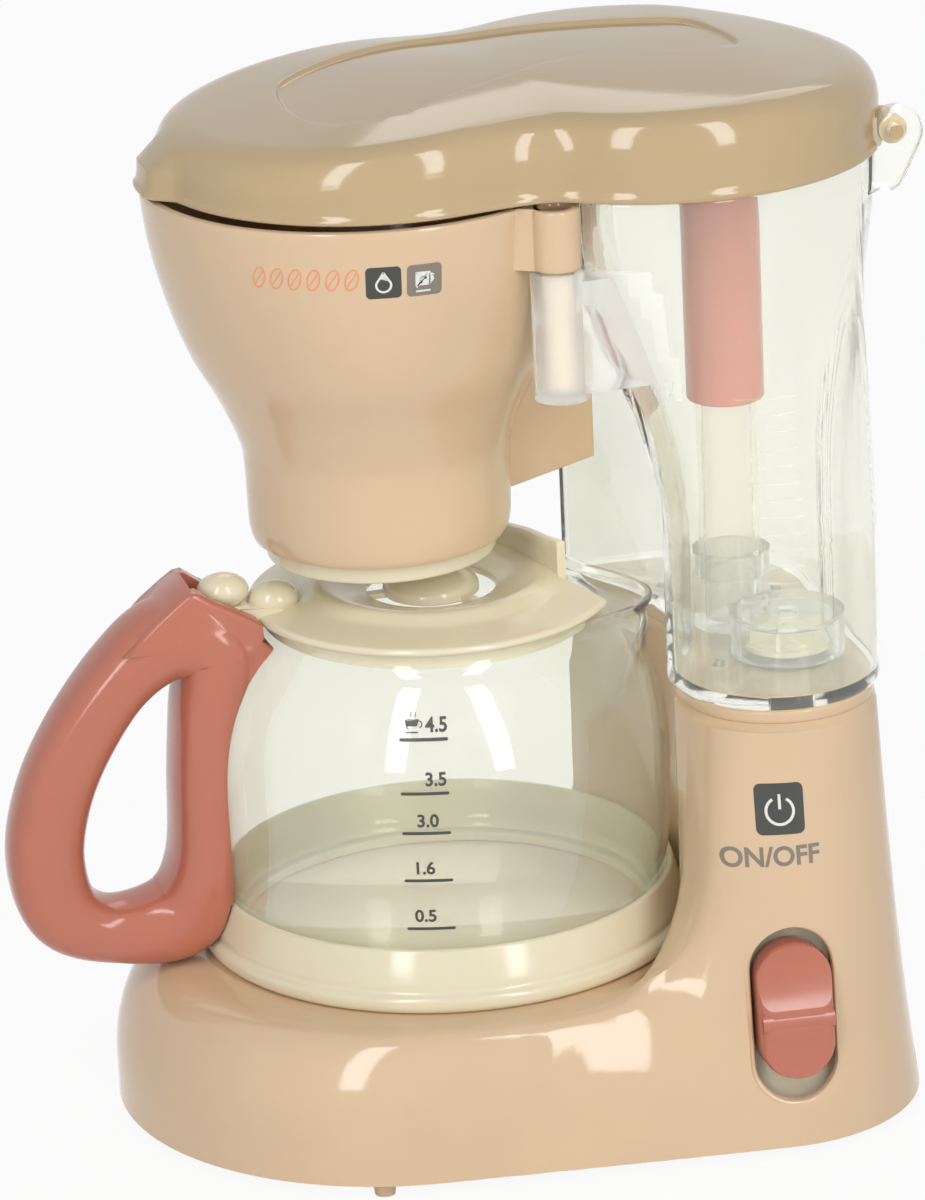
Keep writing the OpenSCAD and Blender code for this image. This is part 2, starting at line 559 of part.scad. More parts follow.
module top_lid() color([0.72, 0.65, 0.53]) {
    difference() {
        skin(concat(reversed(lid_rows(lid_wall)), lid_rows(0)), lid_top(lid_wall), lid_top(0));
        // Notches round the tank's ears
        for (s = [-1, 1]) translate([ear_x, s * ear_span / 2 + ear_t / 2 + 0.4, lid_pin_z])
            rotate([90, 0, 0]) linear_extrude(ear_t + 0.8) hull() for (z = [-9, 0])
                translate([0, z]) circle(r = ear_r + 0.6, $fn = 48);
        // The flange is cut back between the ears, so that it clears the tank as the lid tips
        translate([ear_x - 1.5, -12, lid_z - 1]) cube([10, 24, 1.7]);
    }
    // Knuckles on the inner sides of the ears, with the moulded pins
    for (s = [-1, 1]) translate([ear_x, s * (ear_span / 2 - ear_t / 2 - 0.3), lid_pin_z])
        rotate([90 * s, 0, 0]) {
            cylinder(r = knuckle_r, h = 8, $fn = 40);
            translate([0, 0, -ear_t - 0.3]) cylinder(r = lid_pin_r, h = ear_t + 1, $fn = 32);
        }
}

// ---------------------------------------------------------------- filter basket
// Outer wall of the basket as height above its foot against radius
function basket_wall_at(by) = [
    [basket_foot_r - 1.1 - by, 0], [basket_foot_r - by, 4], [basket_foot_r + 0.4 - by, 18],
    // How far the funnel has widened, at each share of the height
    for (w = [[0.09, 0.3], [0.29, 0.4125], [0.55, 0.531], [0.73, 0.65], [0.86, 0.7625], [0.95, 0.875], [1, 1]])
        [lerp(basket_foot_r, basket_r, w[0]) - by, w[1] * basket_h]];
fin_t = 2.4;
fin_end = 47.8;
basket_ledge = 0.275 * basket_h;
// The inside is free of the ribs from this height up
inside_z = 0.4 * basket_h;
module filter_basket() color([0.86, 0.76, 0.63]) difference() {
    union() {
        place(basket_at, basket_z) rotate_extrude($fn = 96)
            polygon(concat(basket_wall_at(0), reversed(basket_wall_at(basket_wall))));
        place(basket_at, basket_z + basket_ledge) ring(basket_foot_r - 0.5, basket_foot_r - 8, 2);
        place(basket_hinge_at, basket_top - barrel_h) cylinder(r = barrel_r, h = barrel_h, $fn = 48);
        place(basket_hinge_at, socket_z + 3) cylinder(r = basket_pin_r, h = socket_h - 2, $fn = 48);
        // Web between the rim and the hinge barrel
        place(basket_hinge_at, basket_top - barrel_h) linear_extrude(barrel_h) hull() {
            circle(r = 3.6, $fn = 32);
            translate((basket_at - basket_hinge_at) * 0.16) circle(r = 6.5, $fn = 32);
        }
        // Fin towards the tank
        place(basket_at, basket_z) rotate([90, 0, 0]) translate([0, 0, -fin_t / 2]) linear_extrude(fin_t)
            polygon([for (p = [[basket_foot_r - 1, 0.0675], [fin_end, 0.1325], [fin_end, 0.475],
                               [basket_foot_r + 8, 0.625], [basket_foot_r + 4, 0.45]]) [p[0], p[1] * basket_h]]);
    }
    // Keep the inside clear of the web and the fin
    place(basket_at, basket_z + inside_z) rotate_extrude($fn = 96)
        translate([0, -inside_z]) intersection() {
            polygon(concat([[0, inside_z]], basket_wall_at(basket_wall + 0.02), [[0, basket_h + 1]]));
            translate([0, inside_z]) square([basket_r, basket_h]);
        }
}

cup_r = 24.8;
cup_drop = 4.3;
module filter_cup() color([0.91, 0.89, 0.80]) place(basket_at, basket_z - cup_drop) difference() {
    cylinder(r = cup_r, h = basket_ledge + cup_drop - 0.3, $fn = 72);
    translate([0, 0, 3]) cylinder(r = cup_r - 1.8, h = 40, $fn = 72);
    translate([0, 0, -1]) cylinder(r = 3 + fit_gap, h = 8, $fn = 32);
}
module drip_nozzle() color([0.91, 0.89, 0.80]) place(basket_at, basket_z - cup_drop - 0.2) difference() {
    union() {
        cylinder(r = 3, h = 8, $fn = 32);
        translate([0, 0, 3.3]) cylinder(r = 5, h = 1.6, $fn = 32);
    }
    translate([0, 0, -1]) cylinder(r = 1.4, h = 12, $fn = 24);
}

// ---------------------------------------------------------------- carafe
ring_h = 13.5;
neck_r = carafe_lid_r - 1.6;
// Outer wall of the clear body as radius against height, moved in by a wall
function carafe_profile(by) = [
    [carafe_r - 2.6 - by, 0], [carafe_r - 1.6 - by, 11], [carafe_r - 0.4 - by, 20], [carafe_r - by, 30],
    [carafe_r - 0.1 - by, 42], [carafe_r - 1.6 - by, 51.5], [carafe_r - 4.6 - by, 59],
    [lerp(neck_r, carafe_r, 0.3) - by, 65.6], [neck_r - by, 70], [neck_r - by, carafe_h]];
// The pouring spout, turned a little to the front of straight across from the handle
spout_reach = 10.5;
spout_turn = -20;
module spout_shape(by) rotate([0, 0, spout_turn]) hull() {
    translate([neck_r - 8, 0, carafe_h - 16 + by]) cylinder(r = 10 - by, h = 16, $fn = 32);
    translate([neck_r + spout_reach - 4, 0, carafe_h - 2]) cylinder(r = 4 - by, h = 2 + by, $fn = 24);
}
module carafe_body() color([0.88, 0.92, 0.90, 0.35]) place(carafe_at, carafe_z) {
    difference() {
        union() {
            rotate_extrude($fn = 96)
                polygon(concat([[0, 0]], carafe_profile(0), [[0, carafe_h]]));
            spout_shape(0);
        }
        rotate_extrude($fn = 96)
            polygon(concat([[0, 2], [carafe_r - 4 - carafe_wall, 2]],
                [for (p = carafe_profile(carafe_wall)) if (p[1] > 2) p], [[neck_r - carafe_wall, carafe_h + 1],
                [0, carafe_h + 1]]));
        translate([0, 0, 0.5]) spout_shape(1.2);
    }
}
module carafe_base_ring() color([0.89, 0.86, 0.76]) place(carafe_at, seat_h + 0.05) difference() {
    rotate_extrude($fn = 96) polygon([[0, 0], [ring_r - 1.6, 0], [ring_r - 0.4, 0.8], [ring_r, 1.8], [ring_r, 3.6], [ring_r - 1.6, 4.6],
        [ring_r - 1.6, 6], [carafe_r - 0.2, ring_h], [0, ring_h]]);
    // Pocket for the clear body
    translate([0, 0, carafe_z - seat_h - fit_gap]) rotate_extrude($fn = 96)
        polygon(concat([[0, 0]], [for (p = carafe_profile(-fit_gap)) if (p[1] < 25) p], [[0, 20]]));
}

// Carafe lid: a dished disc with a domed plug over the pour hole and a thumb lever
dome_r = 10.5;
hole_r = 14;
lever_x = -50;
lever_z = 2.1;
lid_skirt = 4;
// Play of the skirt in the neck, so that the lid can tip up on its hinge
lid_play = 0.45;
// Plan of the upright guard beside the spout, and the edge of the opening that it borders
guard = [[27.9, -9.2], [25.8, -2], [24.4, 5], [22, 11.5], [18.6, 17], [15.2, 21.2]];
guard_t = 1.8;
guard_top = 11.7;
lobe_at = [[-34.9, 3.9], [-45.9, 7]];
lobe_r = 3.8;
module carafe_lid() color([0.89, 0.86, 0.76]) place(carafe_at, lid_seat_z + 0.1) {
    difference() {
        union() {
            rotate_extrude($fn = 96) polygon([
                [hole_r, 2.2], [hole_r, 0.8], [24, 3.2], [28, 1.4], [neck_r - carafe_wall - 1.8, 0],
                [neck_r - carafe_wall - 1.8, -lid_skirt], [neck_r - carafe_wall - lid_play, -lid_skirt],
                [neck_r - carafe_wall - lid_play, 0], [carafe_lid_r, 0], [carafe_lid_r + 0.6, 0.8],
                [carafe_lid_r, 1.8], [34, 2.4], [29, 3], [25.5, 4.8], [23.5, 4.8]]);
            // Domed plug on three ribs
            rotate_extrude($fn = 60) polygon(concat([[0, 1], [dome_r, 1]],
                [for (t = [0:15:90]) [dome_r * cos(t), 2.2 + 4.4 * sin(t)]]));
            for (t = [60, 180, 300]) rotate([0, 0, t]) translate([dome_r - 2, -1.2, 1]) cube([6, 2.4, 1.2]);
            // Guard wall beside the spout, lower towards the back
            difference() {
                translate([0, 0, 3.1]) linear_extrude(guard_top) polygon(concat([for (p = guard) p * 1.02],
                    reversed([for (p = guard) p * (1 - guard_t / norm(p))])));
                translate([0, guard[0][1], guard_top]) rotate([-5.5, 0, 0]) translate([0, -20, 0])
                    cube([40, 70, 20]);
            }
            // Thumb lever and its hinge eye
            hull() {
                translate([-36, -lever_w / 2, 0.8]) cube([2, lever_w, 2.2]);
                translate([lever_x, lever_w / 2, lever_z]) rotate([90, 0, 0]) cylinder(r = 2.5, h = lever_w, $fn = 32);
            }
            for (p = lobe_at) hull() for (x = [-1.9, 1.9], y = [-1.2, 1.2]) translate([p[0] + x, y, p[1]])
                sphere(r = lobe_r, $fn = 28);
        }
        // Pour opening over the spout
        translate([0, 0, -6]) linear_extrude(30) polygon(concat([[37.7, -31.3]],
            [for (i = [0:4]) guard[i]], [lerp(guard[4], guard[5], 1.5), [28, 38], [60, 38], [60, -32]]));
        translate([lever_x, 20, lever_z]) rotate([90, 0, 0]) cylinder(r = hinge_pin_r + fit_gap / 2, h = 40, $fn = 24);
    }
}
hinge_pin_r = 1.2;
lever_w = 10;
hinge_pin_l = lever_w + 6;
module carafe_hinge_pin() color("silver")
    translate([carafe_at[0] + lever_x, carafe_at[1] + hinge_pin_l / 2, lid_seat_z + 0.1 + lever_z])
        rotate([90, 0, 0]) cylinder(r = hinge_pin_r, h = hinge_pin_l, $fn = 24);

// Handle: stations round the closed loop, each [distance from the carafe's axis, height above the
// seat, half width, half thickness], joined by a smooth curve
grip = handle_t / 2;
handle_stations = [
    [handle_reach - 11.5, 14.5, 8.2, grip], [handle_reach - 8.4, 27, 8.4, grip], [handle_reach - 10.9, 40.6, 8.2, grip],
    [handle_reach - 17.2, 53.7, 7.9, grip], [handle_reach - 26.9, 66.5, 7.7, grip + 0.5], [59, 73.8, 8.8, grip + 1.1],
    [48.6, 71, 8.6, grip + 2.5], [50.9, 56.6, 7.8, grip + 3], [52.3, 42.6, 7.6, grip + 3],
    [53.7, 21.6, 7.8, grip + 3], [59.5, 10.2, 9, grip + 1.5], [handle_reach - 22, 8.8, 7, grip]];
function spline(p0, p1, p2, p3, t) =
    0.5 * (2 * p1 + (p2 - p0) * t + (2 * p0 - 5 * p1 + 4 * p2 - p3) * t * t
           + (3 * p1 - p0 - 3 * p2 + p3) * t * t * t);
function around(l, i) = l[(i + len(l)) % len(l)];
handle_steps = 4;
handle_path = [for (i = [0:len(handle_stations) - 1]) for (t = [0:handle_steps - 1])
    spline(around(handle_stations, i - 1), around(handle_stations, i), around(handle_stations, i + 1),
           around(handle_stations, i + 2), t / handle_steps)];
function rounded(v) = sign(v) * pow(abs(v), 0.75);
handle_sides = 14;
module handle_loop() {
    n = len(handle_path);
    m = handle_sides;
    points = [for (i = [0:n - 1])
        let (s = handle_path[i], ahead = around(handle_path, i + 1), behind = around(handle_path, i - 1),
             dx = ahead[0] - behind[0], dz = ahead[1] - behind[1], l = sqrt(dx * dx + dz * dz))
        for (j = [0:m - 1]) let (c = rounded(cos(360 * j / m)) * s[2], w = rounded(sin(360 * j / m)) * s[3])
            [-(s[0] + c * dz / l), w, s[1] - c * dx / l]];
    function id(i, j) = (i % n) * m + (j % m);
    faces = [for (i = [0:n - 1]) for (j = [0:m - 1]) each [
        [id(i, j), id(i, j + 1), id(i + 1, j + 1)], [id(i, j), id(i + 1, j + 1), id(i + 1, j)]]];
    polyhedron(points, faces, convexity = 8);
}
// Side view of the two cheeks that stand up beside the thumb lever and clasp the neck
cheek = [[-70, 73.4], [-62.3, 80.7], [-57.7, 84.2], [-55, 86], [-53.2, 86.2], [-49.7, 83.6], [-44.4, 80.6],
         [-40.2, 78.1], [-38.6, 76.4], [-39.4, 73.3], [-37, 71.6], [-38.5, 67.9], [-41.8, 60.3],
         [-44.4, 52.7], [-50, 55], [-56.5, 73]];
cheek_w = 19.2;
module carafe_handle() color([0.77, 0.46, 0.40]) place(carafe_at, seat_h) difference() {
    union() {
        handle_loop();
        translate([0, cheek_w / 2, 0]) rotate([90, 0, 0]) linear_extrude(cheek_w) polygon(cheek);
    }
    // Hugs the clear body and the base ring
    translate([0, 0, carafe_z - seat_h]) rotate_extrude($fn = 96) polygon(concat([[0, -8]],
        [for (p = carafe_profile(-free_gap)) [p[0], p[1] < 1 ? -8 : p[1]]],
        [[carafe_lid_r + 1.2, carafe_h - 1.2], [carafe_lid_r + 1.2, carafe_h + 12], [0, carafe_h + 12]]));
    translate([0, 0, -2]) cylinder(r = ring_r + free_gap, h = 7, $fn = 96);
    translate([0, 0, 4.9]) cylinder(r1 = ring_r + free_gap, r2 = carafe_r + 0.5, h = ring_h - 4.4, $fn = 96);
    // Slot for the thumb lever, and the blind hole of its pin
    translate([lever_x - 4, -lever_w / 2 - 0.3, lid_seat_z - seat_h - 1.2]) cube([14, lever_w + 0.6, 20]);
    translate([lever_x, hinge_pin_l / 2 + 0.1, lid_seat_z - seat_h + 0.1 + lever_z]) rotate([90, 0, 0])
        cylinder(r = hinge_pin_r + 0.01, h = hinge_pin_l + 0.2, $fn = 24);
}

// ---------------------------------------------------------------- switch
// Depths measured inwards from the face of the pillar
plate_y = 6.5;
plate_w = 18.6;
plate_depth = 1.6;
// The plate reaches down to the bottom plate, with a gap
plate_gap = 0.15;
plate_l = 2 * (switch_z - plate_z - plate_t - plate_gap - (plate_y + plate_depth) * sin(switch_lean))
    / cos(switch_lean);
stem_w = 4;
plate_screw_at = [3 - plate_l / 2, plate_l / 2 - 3];
module stem_slot(depth) translate([-stem_w / 2 - 0.4, plate_y - 1, -(switch_travel + stem_w) / 2 - 0.4])
    cube([stem_w + 0.8, depth + 1, switch_travel + stem_w + 0.8]);
module switch_plate() color([0.80, 0.78, 0.68]) on_switch_face() difference() {
    translate([-plate_w / 2, plate_y, -plate_l / 2]) cube([plate_w, plate_depth, plate_l]);
    stem_slot(4);
    for (z = plate_screw_at) translate([0, plate_y + 4, z]) rotate([90, 0, 0])
        cylinder(r = screw_r + 0.2, h = 6, $fn = 24);
}
module switch_plate_screws() color("silver") on_switch_face()
    for (z = plate_screw_at) translate([0, plate_y + 3.05, z]) rotate([90, 0, 0]) screw(3.6);
module switch_slider() color([0.77, 0.46, 0.40]) on_switch_face() translate([0, 0, slider_rest]) {
    difference() {
        union() {
            translate([0, 4.4, 0]) stadium(slider_w, slider_l, 8.2);
            translate([-slider_w / 2 + 0.4, -1.9, -2]) rotate([0, 90, 0])
                cylinder(r = 2.2, h = slider_w - 0.8, $fn = 32);
        }
        translate([-slider_w, -15.4, 8.6]) rotate([0, 90, 0]) cylinder(r = 14, h = 2 * slider_w, $fn = 72);
        translate([-slider_w, -24.8, -13]) rotate([0, 90, 0]) cylinder(r = 22.6, h = 2 * slider_w, $fn = 72);
    }
    translate([-stem_w / 2, 4.3, -stem_w / 2]) cube([stem_w, 6.4, stem_w]);
}
body_l = 20;
module switch_body() color([0.25, 0.25, 0.25]) on_switch_face() difference() {
    union() {
        translate([-6.5, plate_y + 1.7, -body_l / 2]) cube([13, 7, body_l]);
        for (s = [-1, 1]) translate([s * 4 - 0.8, plate_y + 8.6, 3]) cube([1.6, 3, 0.8]);
    }
    stem_slot(5.4);
}

// ---------------------------------------------------------------- wiring
motor_foot = motor_top - motor_l - 1.4;
// Tags on the back of the switch
tag_y = front_y(switch_z) + plate_y + 12.6;
module switch_to_motor_lead() color("red") tube_along([
    [switch_x + 4, tag_y, switch_z + 5], [60, tag_y + 4, switch_z + 9], [63, -34, 52],
    [65.6, -24, motor_foot - 5], [66, -22.6, motor_foot - 0.3]], lead_r);
module battery_to_switch_lead() color("red") tube_along([
    [contact_at + 0.35, lead_y[0], lead_z], [22, lead_y[0], lead_z], [30, -12, lead_z + 1], [42, -30, 22],
    [49, -40, 27], [switch_x - 4, tag_y, switch_z + 3]], lead_r);
module battery_to_motor_lead() color([0.15, 0.15, 0.15]) tube_along([
    [contact_at + 0.35, lead_y[1], lead_z], [24, lead_y[1], lead_z], [44, 9, 20], [60, -6, 38],
    [68.6, -17, motor_foot - 6], [70, -19.4, motor_foot - 0.4]], lead_r);

base_housing();
bottom_plate();
base_screws();
battery_cover();
battery_cover_screw();
batteries();
battery_springs();
battery_contacts();
motor();
motor_shaft();
motor_mount();
motor_mount_screws();
shaft_seal();
impeller();
pump_cover();
tank_gasket();
tank_screws();
water_tank();
riser_tube();
riser_sleeve();
outlet_spout();
top_lid();
filter_basket();
filter_cup();
drip_nozzle();
carafe_body();
carafe_base_ring();
carafe_handle();
carafe_lid();
carafe_hinge_pin();
switch_plate();
switch_plate_screws();
switch_slider();
switch_body();
switch_to_motor_lead();
battery_to_switch_lead();
battery_to_motor_lead();
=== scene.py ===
from math import atan2, cos, pi, radians, sin, sqrt
import bmesh
import bpy
import numpy as np
from mathutils import Matrix, Vector
from mathutils.bvhtree import BVHTree


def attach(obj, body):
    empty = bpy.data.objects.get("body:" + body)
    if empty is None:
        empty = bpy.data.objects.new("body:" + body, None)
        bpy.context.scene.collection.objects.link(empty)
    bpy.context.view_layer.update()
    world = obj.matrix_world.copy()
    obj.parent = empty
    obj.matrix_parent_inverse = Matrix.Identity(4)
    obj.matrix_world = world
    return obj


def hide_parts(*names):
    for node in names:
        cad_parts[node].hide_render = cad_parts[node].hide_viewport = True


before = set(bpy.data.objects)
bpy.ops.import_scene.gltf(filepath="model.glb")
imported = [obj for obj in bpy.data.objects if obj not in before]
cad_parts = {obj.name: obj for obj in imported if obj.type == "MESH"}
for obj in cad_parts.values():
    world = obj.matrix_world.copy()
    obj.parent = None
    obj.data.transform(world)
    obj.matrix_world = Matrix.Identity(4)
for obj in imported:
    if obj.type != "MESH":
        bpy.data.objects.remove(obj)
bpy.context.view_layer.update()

# ---------------------------------------------------------------- Camera
# A long lens on a stand in front and a little to the left, looking down on the coffee maker,
# and tipped slightly, so that the coffee maker leans left in the view.
MM = 0.001
FRAME_LONG_PX, FRAME_FOCAL_PX = 1200, 6500
lens_aim = Vector((1.6, 0, 112.4)) * MM
lens_turn, lens_rise, lens_tip, lens_reach = radians(-13.5), radians(19.75), radians(2.6), 1.4
lens_back = Vector((sin(lens_turn) * cos(lens_rise), -cos(lens_turn) * cos(lens_rise), sin(lens_rise)))
lens_right = Vector((cos(lens_turn), sin(lens_turn), 0))
lens_up = lens_back.cross(lens_right)
camera = bpy.data.objects.new("camera", bpy.data.cameras.new("camera"))
bpy.context.scene.collection.objects.link(camera)
camera.data.lens = FRAME_FOCAL_PX / FRAME_LONG_PX * camera.data.sensor_width
camera.matrix_world = Matrix.Translation(lens_aim + lens_back * lens_reach) @ Matrix((
    lens_right * cos(lens_tip) - lens_up * sin(lens_tip),
    lens_right * sin(lens_tip) + lens_up * cos(lens_tip),
    lens_back)).transposed().to_4x4()
bpy.context.scene.camera = camera
bpy.context.scene.view_settings.view_transform = "Standard"

# ---------------------------------------------------------------- Studio
# White paper sweep that shows as plain white but keeps a soft shadow, an even grey room, and
# two upright window-shaped softboxes left and right of the camera with a weaker one behind.
FLOOR_REACH, PAPER_TONE, SHADOW_SHARE = 3.0, 0.96, 0.08
ROOM_LIGHT, CEILING_LIGHT, CEILING_FROM = 0.42, 0.12, 0.3
BOX_REACH, BOX_AIM_Z = 1.5, 0.1


def wire(tree, kind, **sockets):
    """A shader node with its sockets set to values or joined to other nodes' outputs."""
    node = tree.nodes.new(kind)
    for name, value in sockets.items():
        key = int(name[1:]) if name[0] == "_" and name[1:].isdigit() else name.replace("_", " ")
        if isinstance(value, bpy.types.NodeSocket):
            tree.links.new(value, node.inputs[key])
        else:
            node.inputs[key].default_value = value
    return node


def shader_tree(holder):
    """The emptied node tree of a new material or world."""
    holder.use_nodes = True
    holder.node_tree.nodes.clear()
    return holder.node_tree


def seen_ray(tree):
    """1 for rays that come from the camera, a mirror reflection or clear plastic."""
    path = tree.nodes.new("ShaderNodeLightPath")
    most = path.outputs["Is Camera Ray"]
    for other in ("Is Glossy Ray", "Is Transmission Ray"):
        node = tree.nodes.new("ShaderNodeMath")
        node.operation = "MAXIMUM"
        tree.links.new(most, node.inputs[0])
        tree.links.new(path.outputs[other], node.inputs[1])
        most = node.outputs[0]
    return most


paper = bpy.data.materials.new("paper_sweep")
tree = shader_tree(paper)
lit = wire(tree, "ShaderNodeBsdfDiffuse", Color=(PAPER_TONE, PAPER_TONE, PAPER_TONE, 1))
bright = wire(tree, "ShaderNodeEmission", Color=(1, 1, 1, 1), Strength=1)
share = tree.nodes.new("ShaderNodeMath")
share.operation = "MULTIPLY"
share.inputs[1].default_value = 1 - SHADOW_SHARE
tree.links.new(seen_ray(tree), share.inputs[0])
both = wire(tree, "ShaderNodeMixShader", _0=share.outputs[0], _1=lit.outputs[0], _2=bright.outputs[0])
wire(tree, "ShaderNodeOutputMaterial", Surface=both.outputs[0])

sweep = bmesh.new()
bmesh.ops.create_grid(sweep, x_segments=1, y_segments=1, size=FLOOR_REACH)
floor_mesh = bpy.data.meshes.new("floor")
sweep.to_mesh(floor_mesh)
sweep.free()
floor_mesh.materials.append(paper)
floor = bpy.data.objects.new("floor", floor_mesh)
bpy.context.scene.collection.objects.link(floor)

room = bpy.data.worlds.new("room")
bpy.context.scene.world = room
tree = shader_tree(room)
sky = tree.nodes.new("ShaderNodeTexCoord").outputs["Generated"]
heading = wire(tree, "ShaderNodeSeparateXYZ", Vector=sky)
level = wire(tree, "ShaderNodeMapRange", Value=heading.outputs["Z"], From_Min=CEILING_FROM, From_Max=1.0,
             To_Min=ROOM_LIGHT, To_Max=CEILING_LIGHT)
dim = wire(tree, "ShaderNodeBackground", Color=(1, 1, 1, 1), Strength=level.outputs[0])
white = wire(tree, "ShaderNodeBackground", Color=(1, 1, 1, 1), Strength=1)
both = wire(tree, "ShaderNodeMixShader", _0=seen_ray(tree), _1=dim.outputs[0], _2=white.outputs[0])
wire(tree, "ShaderNodeOutputWorld", Surface=both.outputs[0])

# Name, direction round the object, rise, width and height in metres, and brightness
SOFTBOXES = [("softbox_left", -125, 34, 0.27, 1.5, 7.2), ("softbox_right", -71, 31, 0.27, 1.5, 7.2),
             ("softbox_behind", 65, 42, 0.8, 0.6, 1.4)]
for name, turn_deg, rise_deg, wide, high, strength in SOFTBOXES:
    lamp = bpy.data.lights.new(name, "AREA")
    lamp.shape = "RECTANGLE"
    lamp.size, lamp.size_y = wide, high
    lamp.energy = strength * pi * wide * high
    way = Vector((cos(radians(turn_deg)) * cos(radians(rise_deg)),
                  sin(radians(turn_deg)) * cos(radians(rise_deg)), sin(radians(rise_deg))))
    box = bpy.data.objects.new(name, lamp)
    box.visible_camera = False
    box.matrix_world = Matrix.Translation(Vector((0, 0, BOX_AIM_Z)) + way * BOX_REACH) @ \
        way.to_track_quat("Z", "Y").to_matrix().to_4x4()
    bpy.context.scene.collection.objects.link(box)

# ---------------------------------------------------------------- Base housing
# Base and pillar are one injection moulding in glossy beige ABS, an even shell open underneath,
# with a slot for the switch and holes in its top for the pump seal and the tank's screws.
CORE = (80, 4)
BASE_CORNERS = [(-16.4, 3.4, 62.2), (55.6, -31, 35.2), (55.6, 31, 35.2), (50.4, 0, 44.5)]
FOOT_CORNERS = [(62.4, -30.7, 22.1), (59.3, 26, 26.8), (59, -35.5, 15.8), (45.6, 43, 10)]
CARAFE_AT, BASKET_AT, TANK_AT = (-3.5, 7.5), (-13.7, 8.5), (49.1, 0)
RISER_AT, PUMP_AT, HINGE_AT = (61.7, 0), (68, -21), (16.8, -33.9)
HOLLOW = (CARAFE_AT[0], CARAFE_AT[1], 54)
SEAT_H, SHOULDER_H, SHOULDER_W, WALL, BASE_Z = 35.8, 23.4, 14.5, 2.2, 3.8
PILLAR_H, LIP_H, SET_IN = 97, 2.8, 1
TANK_Z, TANK_TOP = 97.6, 208.8
SHELL_RAYS, RAY_CROWD, LOOK_ASIDE = 216, 36, 76
HORN_ROUND, FAR = 5, 1000.0
# The concave fillet over the seat, and where round the shell it and the upright wall take over
FILLET_MIN, FILLET_MAX, FILLET_SHARE = 0.7, 24, 0.9
FILLET_FROM, FILLET_FULL, UPRIGHT_FROM, UPRIGHT_FULL = 39.6, 45, 39.4, 61


def lerp(a, b, t):
    return a + (b - a) * t


def ease(low, high, x):
    t = min(1, max(0, (x - low) / (high - low)))
    return t * t * (3 - 2 * t)


def turned_away(a, b):
    """Degrees between two directions, the short way round."""
    return abs((a - b + 540) % 360 - 180)


def soft_min(p, q, k):
    """The smaller of two lengths, blended over a width k where they meet."""
    h = max(k - abs(p - q), 0) / k
    return min(p, q) - h * h * k / 4


def reach(corners, middle, a, by=0):
    """Distance from middle, along the ray at a degrees, to a round-cornered outline."""
    tilt = np.radians(np.arange(-LOOK_ASIDE, LOOK_ASIDE + 0.5, 1.0))
    way = radians(a) + tilt
    edge = np.max([(c[0] - middle[0]) * np.cos(way) + (c[1] - middle[1]) * np.sin(way) + c[2] + by
                   for c in corners], axis=0)
    return float(np.min(edge / np.cos(tilt)))


def along_and_off(circle, middle, a):
    """Where a circle's centre lies along and beside the ray at a degrees from middle."""
    dx, dy = circle[0] - middle[0], circle[1] - middle[1]
    return dx * cos(radians(a)) + dy * sin(radians(a)), dx * sin(radians(a)) - dy * cos(radians(a))


def near_side(circle, middle, a, by=0):
    """Distance from middle to the near side of a circle, or FAR if the ray misses it."""
    along, off = along_and_off(circle, middle, a)
    r = circle[2] + by
    return along - sqrt(r * r - off * off) if along > 0 and abs(off) < r else FAR


def shell_ray(i, count=SHELL_RAYS):
    """Ray directions that crowd together towards the carafe, where the outline is furthest away."""
    t = 360 * i / count
    return t + RAY_CROWD * sin(radians(t))


def foot_outline(a, by):
    return soft_min(reach(FOOT_CORNERS, CORE, a, by), near_side(HOLLOW, CORE, a, -by), HORN_ROUND)


def point(middle, r, a, z):
    """The point at a distance and a direction from a middle, at height z."""
    return (middle[0] + r * cos(radians(a)), middle[1] + r * sin(radians(a)), z)


CARAFE_WAY = atan2(CARAFE_AT[1] - CORE[1], CARAFE_AT[0] - CORE[0]) * 180 / pi
SHOULDER_STEPS = [0, 6, 13, 20, 30, 40, 50, 60, 70, 80, 90]
FILLET_STEPS = [0, 10, 20, 30, 45, 60, 75, 90]
# Rises over the shoulder's foot that the upright wall has at the steps of shoulder and fillet
SHOULDER_RISES = ([0, 20, 40, 60, 80, 90], [0, 5, 11, 17, 23, 29])
FILLET_RISES = ([0, 30, 60, 90], [36, 43, 51, 60])
STAND = SEAT_H - SHOULDER_H


